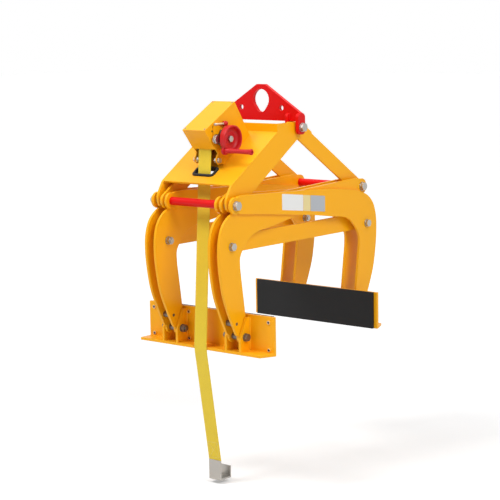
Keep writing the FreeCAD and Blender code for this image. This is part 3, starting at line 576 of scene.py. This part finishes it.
class Finishes:
    """All materials, built once and found by finish."""

    def __init__(self) -> None:
        """Make the shared groups, then every material."""
        make_edge_group()
        make_grain_group()
        make_dust_group()
        make_weave_group()
        self.yellow, self.red, self.grip = YELLOW.build(), RED.build(), GRIP_RED.build()
        self.zinc, self.dark_zinc, self.rubber = ZINC.build(), DARK_ZINC.build(), RUBBER.build()
        self.white, self.cream = BLANK_WHITE.build(), BLANK_CREAM.build()
        self.grey, self.thread = BLANK_GREY.build(), THREAD.build()
        self.webbing = Webbing("strap_webbing").build()

    def of(self, slot: Slot) -> Material:
        """The material that stands for one of the record's finishes."""
        return {Slot.YELLOW: self.yellow, Slot.RED: self.red, Slot.ZINC: self.zinc,
                Slot.WEBBING: self.webbing, Slot.RUBBER: self.rubber}[slot]

    def dress_nodes(self) -> None:
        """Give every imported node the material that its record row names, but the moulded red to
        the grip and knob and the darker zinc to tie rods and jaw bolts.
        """
        for row in frame["record"]["subparts"]:
            node = frame["nodes"][row["node"]]
            material = self.of(Slot(row["material_slot"]))
            if row["node"] in MOULDED_NODES:
                material = self.grip
            # The darker zinc is partly painted shade.
            elif row["node"].endswith(DULL_SHADED_NODE_ENDINGS):
                material = self.dark_zinc
            node.data.materials.clear()
            node.data.materials.append(material)
        log.info("dressed %d nodes", len(frame["nodes"]))


# Places on the front link, and weld beads


@dataclass(frozen=True)
class Slope:
    """The front link's own axes: along it from the top pivot, and square to it."""

    top: float = -0.114
    span: float = 0.319
    drop: float = 0.2094

    @property
    def length(self) -> float:
        """From the top pivot to the side pivot."""
        return math.hypot(self.span, self.drop)

    def at(self, along: Array | float, lift: Array | float, x: Array | float) -> Array:
        """Points given along the link, square to it, and across.

        Args:
            along: distance from the top pivot.
            lift: height square to the link.
            x: place across.

        Returns:
            Array of (..., 3).
        """
        uy, uz = -self.span / self.length, -self.drop / self.length
        along, lift, x = np.broadcast_arrays(along, lift, x)
        return np.stack([x, along * uy + lift * uz, self.top + along * uz - lift * uy], axis=-1)


SLOPE = Slope()


@dataclass
class Seam:
    """A weld bead from one point to another."""

    start: Triple
    end: Triple
    radius: float = 0.0026
    step: float = 0.0009
    wave: float = 0.0032
    ripple: float = 0.09
    # A direction that no seam runs along.
    skew: Triple = (0.587, 0.577, 0.597)

    def bead(self) -> Sweep:
        """The bead: a round section whose radius ripples by about a tenth along the seam, and falls
        as a quarter of a circle at each end.

        Returns:
            The sweep.
        """
        a, b = np.array(self.start, float), np.array(self.end, float)
        length = np.linalg.norm(b - a)
        t = np.linspace(0, 1, max(12, int(length / self.step)))
        path = a + (b - a) * t[:, None]
        ends = np.clip(np.minimum(t, 1 - t) * length / (1.2 * self.radius), 0, 1)
        swell = np.sqrt(np.clip(1 - (1 - ends) ** 2, 0.02, 1))
        ripple = 1 + self.ripple * np.abs(np.sin(np.pi * t * length / self.wave))
        profile = circle(self.radius, 12)[None] * (swell * ripple)[:, None, None]
        return Sweep(carry(profile, path, np.array(self.skew)))


def seams_both_sides(seams: list[Seam]) -> list[Sweep]:
    """Beads and their copies on the far side of the middle."""
    mirrored = [Seam((-s.start[0], *s.start[1:]), (-s.end[0], *s.end[1:]), s.radius) for s in seams]
    return [seam.bead() for seam in seams + mirrored]


# Sub-assemblies


@dataclass
class Assembly:
    """A sub-assembly, dressed from the shared materials."""

    finishes: Finishes


@dataclass
class Hanger(Assembly):
    """Red suspension plate with its cheeks."""

    half_thick: float = 0.006
    faces: tuple[float, ...] = (0.103, 0.112, 0.144)
    top: float = -0.072
    foot: float = -0.095

    def welds(self) -> None:
        """Beads between the plate and the upright cheeks."""
        seams = [Seam((x, y, self.top), (x, y, self.foot))
                 for y in (-self.half_thick, self.half_thick) for x in self.faces]
        piece("hanger_welds", seams_both_sides(seams), Body.HANGER, self.finishes.red)


@dataclass
class FrontLink(Assembly):
    """Yellow channel with the rubber guard round its strap slot."""

    seam_start: float = 0.097
    seam_end: float = 0.34
    seam_radius: float = 0.003
    web_under: float = 0.041
    side_inner: float = 0.131
    guard_along: Pair = (0.2748, 0.3102)
    guard_across: float = 0.0382
    guard_half: Pair = (0.0045, 0.0074)
    guard_power: float = 3.2
    guard_lift: float = 0.045
    guard_corner: float = 0.009

    def welds(self) -> None:
        """Beads under the web, along both side plates."""
        start, end = (tuple(SLOPE.at(along, self.web_under, self.side_inner))
                      for along in (self.seam_start, self.seam_end))
        piece("link_welds", seams_both_sides([Seam(start, end, self.seam_radius)]),
              Body.FRONT_LINKS, self.finishes.yellow)

    def guard(self) -> None:
        """Rubber edging: a pillow section carried round the slot's rounded rectangle."""
        low, high = self.guard_along
        half = self.guard_across
        corners = [(low, -half), (high, -half), (high, half), (low, half)]
        loop = softened(corners, self.guard_corner, 9)
        path = SLOPE.at(loop[:, 0], self.guard_lift, loop[:, 1])
        up = SLOPE.at(0, 1, 0) - SLOPE.at(0, 0, 0)
        profile = pillow(self.guard_half[1], self.guard_half[0], self.guard_power, 28)
        edging = Sweep(carry(profile, path, up, looped=True), looped=True)
        made = piece("slot_guard_edging", [edging], Body.FRONT_LINKS,
                     self.finishes.rubber)
        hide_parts("strap_slot_guard")


@dataclass
class Strap(Assembly):
    """Webbing strap from the winch, past the front jaw's lip, and its winding on the drum."""

    width: float = 0.05
    thick: float = 0.0025
    selvedge: int = 18
    core: float = 0.016
    outer: float = 0.0302
    turn_gap: float = 1.04
    # The route's points are the part's own, with one more on each side of the lip's edge.
    route: tuple[Triple, ...] = (
        (0.0, -0.26945, -0.13616), (0.0, -0.30637, -0.70513), (0.0, -0.3118, -0.765),
        (0.0, -0.30087, -0.82426), (0.0, -0.25325, -1.125))
    stitch_half: float = 0.019
    stitch_span: Pair = (0.008, 0.058)
    stitch_pitch: float = 0.0042
    stitch_shares: Pair = (0.15, 0.75)
    thread_radius: float = 0.00045
    thread_rise: float = 0.0003
    thread_taper: tuple[float, ...] = (0.5, 0.9, 1.0, 0.9, 0.5)

    def line(self) -> Array:
        """The spline's own points, as Blender reads them.

        Returns:
            Array of (count, 3).
        """
        curve = bpy.data.curves.new("strap_line", "CURVE")
        curve.dimensions = "3D"
        curve.resolution_u = 64
        spline = curve.splines.new("NURBS")
        spline.points.add(len(self.route) - 1)
        spline.points.foreach_set("co", np.array([(*p, 1.0) for p in self.route]).ravel())
        spline.order_u = 3
        spline.use_endpoint_u = True
        holder = add_object("strap_line", curve)
        bpy.context.view_layer.update()
        mesh = bpy.data.meshes.new_from_object(holder)
        points = np.empty(len(mesh.vertices) * 3)
        mesh.vertices.foreach_get("co", points)
        bpy.data.objects.remove(holder)
        bpy.data.meshes.remove(mesh)
        return points.reshape(-1, 3)

    def band(self, path: Array) -> Sweep:
        """The strap's flat section carried along a path: its half thickness is the root of one
        minus a high power of the place across, which rounds the selvedges.

        Args:
            path: (count, 3) points of the strap's middle line.

        Returns:
            The sweep, mapped with metres across and along.
        """
        across = np.linspace(-1, 1, 25)
        crown = self.thick / 2 * np.clip(1 - np.abs(across) ** self.selvedge, 0.0, 1) ** 0.5
        upper = np.stack([across * self.width / 2, crown], axis=1)
        lower = np.stack([across[::-1] * self.width / 2, -crown[::-1]], axis=1)
        profile = np.concatenate([upper[:-1], lower[:-1]])
        step = np.linalg.norm(np.diff(path, axis=0), axis=1)
        along = np.concatenate([[0.0], np.cumsum(step)])
        uv = np.stack(np.broadcast_arrays(profile[None, :, 0], along[:, None]), axis=-1)
        return Sweep(carry(profile, path, ACROSS), uv=uv)

    def hanging(self) -> None:
        """The free strap: the band carried along the route to its hook, with its stitching."""
        path = self.line()
        made = piece("webbing_strap", [self.band(path)], Body.FRONT_LINKS,
                     self.finishes.webbing)
        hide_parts("strap")
        log.info("strap length %.4f", np.linalg.norm(np.diff(path, axis=0), axis=1).sum())
        seam = self.stitches(path)

    def stitches(self, path: Array) -> Object:
        """Box stitching above the hook: short threads round a rectangle and along its diagonals,
        on both faces.

        Args:
            path: the strap's middle line.

        Returns:
            The stitching.
        """
        half, (low, high) = self.stitch_half, self.stitch_span
        corners = np.array([(-half, low), (half, low), (half, high), (-half, high), (-half, low),
                            (half, high), (half, low), (-half, high)])
        sweeps = []
        for start, end in zip(corners[:-1], corners[1:]):
            count = int(np.linalg.norm(end - start) / self.stitch_pitch)
            for k in range(count):
                first, last = ((k + share) / count for share in self.stitch_shares)
                t = np.linspace(first, last, len(self.thread_taper))[:, None]
                places = start + (end - start) * t
                sweeps += [self.thread(path, places, face) for face in (-1, 1)]
        return piece("strap_stitching", sweeps, Body.FRONT_LINKS,
                     self.finishes.thread)

    def thread(self, path: Array, places: Array, side: int) -> Sweep:
        """One stitch: a round section that tapers to both ends and rises off the strap's face by a
        half sine.

        Args:
            path: the strap's middle line.
            places: (count, 2) places across the strap and back from its end.
            side: the strap's face, -1 or 1.

        Returns:
            The sweep.
        """
        run = path[-1] - path[-2]
        run /= np.linalg.norm(run)
        face = np.cross(run, ACROSS)
        wave = np.sin(np.pi * np.linspace(0, 1, len(places)))[:, None]
        lift = self.thick / 2 + self.thread_rise * wave
        line = path[-1] - run * places[:, 1:] + ACROSS * places[:, :1] + face * side * lift
        taper = np.array(self.thread_taper)[:, None, None]
        return Sweep(carry(circle(self.thread_radius, 6)[None] * taper, line, face))

    def winding(self) -> None:
        """The wound strap: the band carried along a spiral whose radius grows by a little over one
        thickness a turn, from the drum's core to the free strap's inner face."""
        layer = self.thick * self.turn_gap
        turns = (self.outer - self.core) / layer
        angle = np.linspace(0, 2 * np.pi * turns, int(turns * 64))
        radius = self.core + self.thick / 2 + angle / (2 * np.pi) * layer
        radius = np.minimum(radius, self.outer - self.thick / 2)
        angle = np.pi - (angle[-1] - angle)
        path = np.stack([np.zeros_like(angle), DRUM[0] + radius * np.cos(angle),
                         DRUM[1] + radius * np.sin(angle)], axis=1)
        made = piece("wound_webbing", [self.band(path)], Body.REEL,
                     self.finishes.webbing)
        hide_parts("wound_strap")


def stub(ends: Pair, radii: Pair, rounding: float, steps: int) -> Array:
    """Lathe profile of a short bar or ring: a rectangle with softened corners.

    Args:
        ends: its lowest and highest x.
        radii: its inner and outer radius.
        rounding: how far from each corner its rounding starts.
        steps: points in a rounding.

    Returns:
        Array of (points, 2).
    """
    (low, high), (inner, outer) = ends, radii
    return softened([(low, inner), (low, outer), (high, outer), (high, inner)], rounding, steps)


@dataclass
class Winch(Assembly):
    """Strap winch: dished hand wheel with its grip, the pawl's rod, small screws, and black patches
    of painted shade that stand for slot openings.
    """

    # Pairs of x and radius: the back, the rim, the sunk web with its raised ring, and the hub.
    wheel_profile: tuple[Pair, ...] = (
        (0.063, 0.0083), (0.063, 0.039), (0.065, 0.041), (0.0834, 0.041), (0.084, 0.039),
        (0.084, 0.0356), (0.0725, 0.0328), (0.0685, 0.028), (0.0677, 0.0185), (0.0698, 0.0155),
        (0.0693, 0.0083))
    wheel_rounding: float = 0.0016
    ear_ends: Pair = (0.067, 0.0756)
    ear_radii: Pair = (0.0058, 0.0126)
    ear_rounding: float = 0.0015
    grip_radius: float = 0.009
    grip_offset: float = 0.0425
    grip_angle: float = 232.0
    grip_ends: Pair = (0.076, 0.176)
    # Pairs of distance from the sleeve's end and share of its radius.
    collar: tuple[Pair, ...] = (
        (0.0, 0.0), (0.0, 0.95), (0.0015, 1.0), (0.007, 1.0), (0.0095, 0.9))
    tip: tuple[Pair, ...] = (
        (-0.006, 1.0), (-0.0018, 1.0), (0.0, 0.84), (0.0, 0.45), (-0.004, 0.4), (-0.004, 0.0))
    ring_margins: Pair = (0.012, 0.008)
    ring_sink: float = 0.0012
    ring_height: float = 0.0003
    ring_pitch: float = 0.007
    waist: float = 0.0011
    waist_lean: float = 0.8
    pin_ends: Pair = (0.0664, 0.078)
    pin_radius: float = 0.0052
    pin_rounding: float = 0.0004
    # Place along the front link and height over it, at the roof's back and front.
    screw_places: tuple[Pair, ...] = ((0.113, 0.1723774), (0.258, 0.1814969))
    screw_out: float = 0.038
    screw_radius: float = 0.003
    screw_rise: float = 0.0012
    screw_sink: float = 0.0006
    side_face: float = 0.044
    slot_shadow_reach: Pair = (-0.001, 0.0002)
    slot_shadow_power: float = 2.6
    # Place in Y and Z, width and height of each patch of painted slot shade.
    painted_slot_shadows: tuple[tuple[float, float, float, float], ...] = (
        (-0.2838, -0.0995, 0.0048, 0.0095), (-0.2886, -0.1115, 0.005, 0.0062))
    rod: Pair = (0.0518, -0.09116)
    rod_ends: Pair = (-0.2862, -0.2450)
    rod_radius: float = 0.003
    thread_pitch: float = 0.0018
    thread_height: float = 0.0004

    def grip_place(self) -> Pair:
        """(y, z) of the grip's axis."""
        angle = math.radians(self.grip_angle)
        return (DRUM[0] + self.grip_offset * math.cos(angle),
                DRUM[1] + self.grip_offset * math.sin(angle))

    def wheel(self) -> None:
        """Dished hand wheel: a lathe profile with a round rim, a sunk web with a raised ring, and a
        hub, and a short ear that carries the grip."""
        profile = softened(self.wheel_profile, self.wheel_rounding, 4)
        ear = stub(self.ear_ends, self.ear_radii, self.ear_rounding, 4)
        made = piece("dished_wheel",
                     [lathe(profile, *DRUM), lathe(ear, *self.grip_place(), 64)], Body.REEL,
                     self.finishes.grip)
        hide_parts("hand_wheel")

    def sleeve(self) -> None:
        """Grip sleeve: a lathe profile with a flared collar, a waist with shallow rings that follow
        a cosine, and a sunk end."""
        (low, high), radius = self.grip_ends, self.grip_radius
        along = np.linspace(0, 1, 181)
        first, last = low + self.ring_margins[0], high - self.ring_margins[1]
        x = first + (last - first) * along
        waist = self.ring_sink + self.waist * np.sin(np.pi * along ** self.waist_lean)
        phase = 2 * np.pi * (x - first) / self.ring_pitch
        rings = radius - waist - self.ring_height * np.cos(phase)
        outside = [(low + step, radius * share) for step, share in self.collar]
        outside += list(zip(x, rings))
        outside += [(high + step, radius * share) for step, share in self.tip]
        made = piece("grip_sleeve", [lathe(np.array(outside), *self.grip_place(), 48)], Body.REEL,
                     self.finishes.grip)
        pin = stub(self.pin_ends, (0.0, self.pin_radius), self.pin_rounding, 3)
        piece("grip_rod_end", [lathe(pin, *self.grip_place(), 32)], Body.REEL,
              self.finishes.zinc)
        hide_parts("wheel_grip")

    def cover_screws(self) -> None:
        """Domed screws at the cover's corners: a quarter of an ellipse, swept round."""
        t = np.linspace(0, np.pi / 2, 7)[:, None]
        ring = circle(self.screw_radius, 24)
        sweeps = []
        for along, lift in self.screw_places:
            for x in (-self.screw_out, self.screw_out):
                ring_a, ring_x = along + np.cos(t) * ring[:, 0], x + np.cos(t) * ring[:, 1]
                dome = SLOPE.at(ring_a, lift + self.screw_rise * np.sin(t), ring_x)
                foot = SLOPE.at(ring_a[:1], lift - self.screw_sink, ring_x[:1])
                sweeps.append(Sweep(np.concatenate([foot, dome])))
        piece("cover_screws", sweeps, Body.FRONT_LINKS, self.finishes.dark_zinc)

    def slots(self) -> None:
        """Painted shade: two short black patches beside the pawl, rounded outlines just off the
        near side plate, that stand for slot openings dark inside.
        """
        sweeps = []
        for y, z, width, height in self.painted_slot_shadows:
            outline = np.array([y, z]) + pillow(width / 2, height / 2, self.slot_shadow_power, 20)
            sweeps.append(layers(outline, 0, self.side_face + np.array(self.slot_shadow_reach)))
        # Black rubber stands in for the shade inside each slot opening.
        piece("painted_slot_shadows", sweeps, Body.FRONT_LINKS, self.finishes.rubber)

    def knob_rod(self) -> None:
        """Threaded rod between the pawl and its knob: a helix, whose crest stands off the core by
        the height of a sine over each turn."""
        start, end = self.rod_ends
        along = np.linspace(start, end, int((end - start) / self.thread_pitch * 8))[:, None]
        angle = turn(20)
        phase = 2 * np.pi * (along - start) / self.thread_pitch - angle
        radius = self.rod_radius + self.thread_height * np.sin(phase)
        x = self.rod[0] + radius * np.cos(angle)
        z = self.rod[1] + radius * np.sin(angle)
        sections = np.stack([x, np.broadcast_to(along, x.shape), z], axis=-1)
        piece("knob_rod", [Sweep(sections)], Body.PAWL, self.finishes.zinc)


@dataclass
class Jaw(Assembly):
    """One jaw's beads and screw heads. Places are the front jaw's, and side is -1 for the rear."""

    body: Body
    side: float
    lug_inner: float
    lug_outer: float
    lug_thick: float = 0.008
    wall: float = -0.264
    lip_seam: float = -0.306
    seam_gap: float = 0.001
    shelf: float = -0.761
    top: float = -0.662
    half: float = 0.25
    foot_margin: float = 0.003
    screw_margins: Pair = (0.02, 0.01)
    screw_rows: Pair = (-0.669, -0.752)
    head_thick: float = 0.0028
    socket_radius: float = 0.0034
    socket_depths: Pair = (-0.0002, 0.0014)
    # Radius of each of the rim's edges, and how far it stands off the head.
    rim_radii: tuple[float, ...] = (0.0033, 0.0037, 0.0052, 0.0055)
    rim_proud: tuple[float, ...] = (-0.0012, 0.0003, 0.0003, -0.0012)

    def welds(self) -> None:
        """Beads beside each lug, up the wall and along the flange, and along the wall's foot."""
        wall, shelf = self.wall, self.shelf
        seams = []
        for low in (self.lug_inner, self.lug_outer):
            for x in (low, low + self.lug_thick):
                seams.append(Seam((x, wall, shelf + self.seam_gap), (x, wall, self.top)))
                seams.append(Seam((x, wall, shelf), (x, self.lip_seam, shelf)))
        seams.append(Seam((self.lug_outer + self.lug_thick, wall, shelf),
                          (self.half - self.foot_margin, wall, shelf)))
        beads = seams_both_sides(seams)
        beads.append(Seam((-self.lug_inner, wall, shelf), (self.lug_inner, wall, shelf)).bead())
        for bead in beads:
            bead.sections[..., 1] *= self.side
        piece(self.body.value + "_welds", beads, self.body, self.finishes.yellow)

    def screws(self) -> None:
        """Painted shade in the sockets, and bare rims, of the lining's eight screws."""
        end, lug = self.half - self.screw_margins[0], self.lug_inner - self.screw_margins[1]
        places = [(x, z) for x in (-end, -lug, lug, end) for z in self.screw_rows]
        name = self.body.value.removesuffix("jaw")
        # The black prisms in the sockets are painted shade.
        for label, shape, slot, material in (
                ("screw_socket_shade", self.socket, Slot.RUBBER, self.finishes.rubber),
                ("screw_rims", self.rim, Slot.ZINC, self.finishes.zinc)):
            piece(name + label, [shape(x, z) for x, z in places], self.body, material)

    def head_face(self, proud: Array) -> Array:
        """Y of points that stand off the screws' heads, away from the clamp's middle."""
        return self.side * (self.wall - self.head_thick - proud)

    def socket(self, x: float, z: float) -> Sweep:
        """Painted shade of a lining screw's socket: a black six-sided prism set in the head's face,
        where the recess lies in shade.

        Args:
            x: the screw's place across.
            z: its height.

        Returns:
            The sweep.
        """
        outline = np.array([x, z]) + circle(self.socket_radius, 6)
        return layers(outline, 1, self.head_face(-np.array(self.socket_depths)))

    def rim(self, x: float, z: float) -> Sweep:
        """Bare ring round a socket: a crowned strip turned round the screw's axis.

        Args:
            x: the screw's place across.
            z: its height.

        Returns:
            The sweep.
        """
        angle = turn(28)[:, None]
        across = x + np.array(self.rim_radii) * np.cos(angle)
        up = z + np.array(self.rim_radii) * np.sin(angle)
        y = np.broadcast_to(self.head_face(np.array(self.rim_proud)), up.shape)
        return Sweep(np.stack([across, y, up], axis=-1), looped=True)


@dataclass
class BlankPlates(Assembly):
    """Three plain plates on the near side of the rear jaw's arm."""

    x: float = 0.157
    reach: Pair = (-0.0002, 0.0006)
    low: Pair = (-0.1035, -0.357)
    slope: float = -0.124
    height: float = 0.049
    corner: float = 0.003

    def build(self) -> None:
        """Thin plates with rounded corners, side by side on the slope of the arm's edge."""
        for name, start, width, material in (
                ("blank_plate_white", 0.0, 0.103, self.finishes.white),
                ("blank_plate_cream", 0.1045, 0.034, self.finishes.cream),
                ("blank_plate_grey", 0.14, 0.073, self.finishes.grey)):
            end = start + width
            corners = [(start, 0.0), (end, 0.0), (end, self.height), (start, self.height)]
            loop = softened(corners, self.corner, 6)
            loop[:, 1] += self.slope * loop[:, 0]
            sheet = layers(loop + self.low, 0, self.x + np.array(self.reach))
            piece(name, [sheet], Body.REAR_ARMS, material)


# Stage


@dataclass(frozen=True)
class Lamp:
    """A square area light: its name, its place, its side in metres and its power in watts."""

    name: str
    place: Triple
    size: float
    power: float

    def hang(self, aim: Triple) -> None:
        """Make the light and turn it to a point.

        Args:
            aim: the point that it faces.
        """
        data = bpy.data.lights.new(self.name, "AREA")
        data.size, data.energy = self.size, self.power
        made = add_object(self.name, data)
        facing = (Vector(self.place) - Vector(aim)).to_track_quat("Z", "Y")
        made.matrix_world = Matrix.Translation(self.place) @ facing.to_matrix().to_4x4()


@dataclass
class Studio:
    """Floor, lights and the photograph's camera."""

    azimuth: float = 39.916
    elevation: float = 8.278
    roll: float = -0.9225
    place: Triple = (3.1337, -3.8158, 0.2149)
    focal_px: float = 1588.0
    photo_px: float = 500.0
    sensor: float = 36.0
    clip: Pair = (0.05, 100.0)
    lamps: tuple[Lamp, ...] = (Lamp("key", (-1.1, -2.6, 3.2), 1.5, 116.0),
                               Lamp("fill", (3.4, -1.0, 2.4), 2.0, 92.0),
                               Lamp("top", (0.3, 0.5, 3.4), 2.0, 50.0))
    aim: Triple = (0.0, 0.0, -0.45)
    surround: float = 0.3
    floor: float = -1.2
    floor_half: float = 30.0
    floor_tone: float = 0.88

    def camera(self) -> None:
        """Camera whose focal length in pixels fits a frame 500 pixels wide."""
        az, el, roll = (math.radians(a) for a in (self.azimuth, self.elevation, self.roll))
        back = np.array([math.sin(az) * math.cos(el), -math.cos(az) * math.cos(el), math.sin(el)])
        right = np.array([math.cos(az), math.sin(az), 0.0])
        up = np.cross(back, right)
        turned = np.cos(roll) * right + np.sin(roll) * up
        upright = -np.sin(roll) * right + np.cos(roll) * up
        data = bpy.data.cameras.new("photo_camera")
        data.sensor_width = self.sensor
        data.lens = self.focal_px * self.sensor / self.photo_px
        data.clip_start, data.clip_end = self.clip
        made = add_object("photo_camera", data)
        world = np.eye(4)
        world[:3] = np.stack([turned, upright, back, self.place], axis=1)
        made.matrix_world = Matrix(world.tolist())
        bpy.context.scene.camera = made

    def surroundings(self) -> None:
        """Even surround that shows white to the camera and in reflections."""
        world = bpy.data.worlds.new("surround")
        nodes = Nodes.fresh(world)
        plain, white = (nodes.add("Background", Color=WHITE, Strength=strength).outputs[0]
                        for strength in (self.surround, 1.0))
        mixed = nodes.add("MixShader", i0=nodes.shown_rays(), i1=plain, i2=white)
        nodes.add("OutputWorld", Surface=mixed.outputs[0])
        bpy.context.scene.world = world

    def ground(self) -> None:
        """Plain pale floor under the strap's hook."""
        mesh = bpy.data.meshes.new("floor")
        half, z = self.floor_half, self.floor
        mesh.from_pydata([(-half, -half, z), (half, -half, z), (half, half, z), (-half, half, z)],
                         [], [[0, 1, 2, 3]])
        made = add_object("floor", mesh)
        mesh.materials.append(self.floor_material())

    def floor_material(self) -> Material:
        """Pale matt floor. Away from the lamps, what it lacks to white is added for the camera and
        for reflections, so that it runs into the white surround and keeps the clamp's shadow.

        Returns:
            The new material.
        """
        made = bpy.data.materials.new("pale_floor")
        nodes = Nodes.fresh(made)
        place = nodes.add("NewGeometry").outputs["Position"]
        away = nodes.add("VectorMath", {"operation": "LENGTH"}, i0=place)
        lack = nodes.add("MapRange", {"interpolation_type": "SMOOTHSTEP"},
                         Value=away.outputs["Value"], From_Min=1.0, From_Max=5.0, To_Min=0.2,
                         To_Max=0.68)
        strength = nodes.maths("MULTIPLY", lack.outputs["Result"], nodes.shown_rays())
        tone = (self.floor_tone,) * 3 + (1.0,)
        shader = nodes.add("BsdfPrincipled", Base_Color=tone, Roughness=0.9, Emission_Color=WHITE,
                           Emission_Strength=strength)
        nodes.add("OutputMaterial", Surface=shader.outputs["BSDF"])
        return made

    def build(self) -> None:
        """Camera, lights, surround and floor, and the plain view transform."""
        self.camera()
        for lamp in self.lamps:
            lamp.hang(self.aim)
        self.surroundings()
        self.ground()
        bpy.context.scene.view_settings.view_transform = "Standard"


def main() -> None:
    """Build the studio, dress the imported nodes, and make every piece."""
    logging.basicConfig(level=logging.INFO, format="%(name)s: %(message)s")
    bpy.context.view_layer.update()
    Studio().build()
    finishes = Finishes()
    finishes.dress_nodes()
    strap = Strap(finishes)
    strap.hanging()
    strap.winding()
    Hanger(finishes).welds()
    link = FrontLink(finishes)
    link.welds()
    link.guard()
    winch = Winch(finishes)
    winch.wheel()
    winch.sleeve()
    winch.cover_screws()
    winch.knob_rod()
    winch.slots()
    for jaw in (Jaw(finishes, Body.FRONT_JAW, 1.0, lug_inner=0.0945, lug_outer=0.1495),
                Jaw(finishes, Body.REAR_JAW, -1.0, lug_inner=0.0855, lug_outer=0.1585)):
        jaw.welds()
        jaw.screws()
    BlankPlates(finishes).build()


if __name__ == "__main__":
    main()
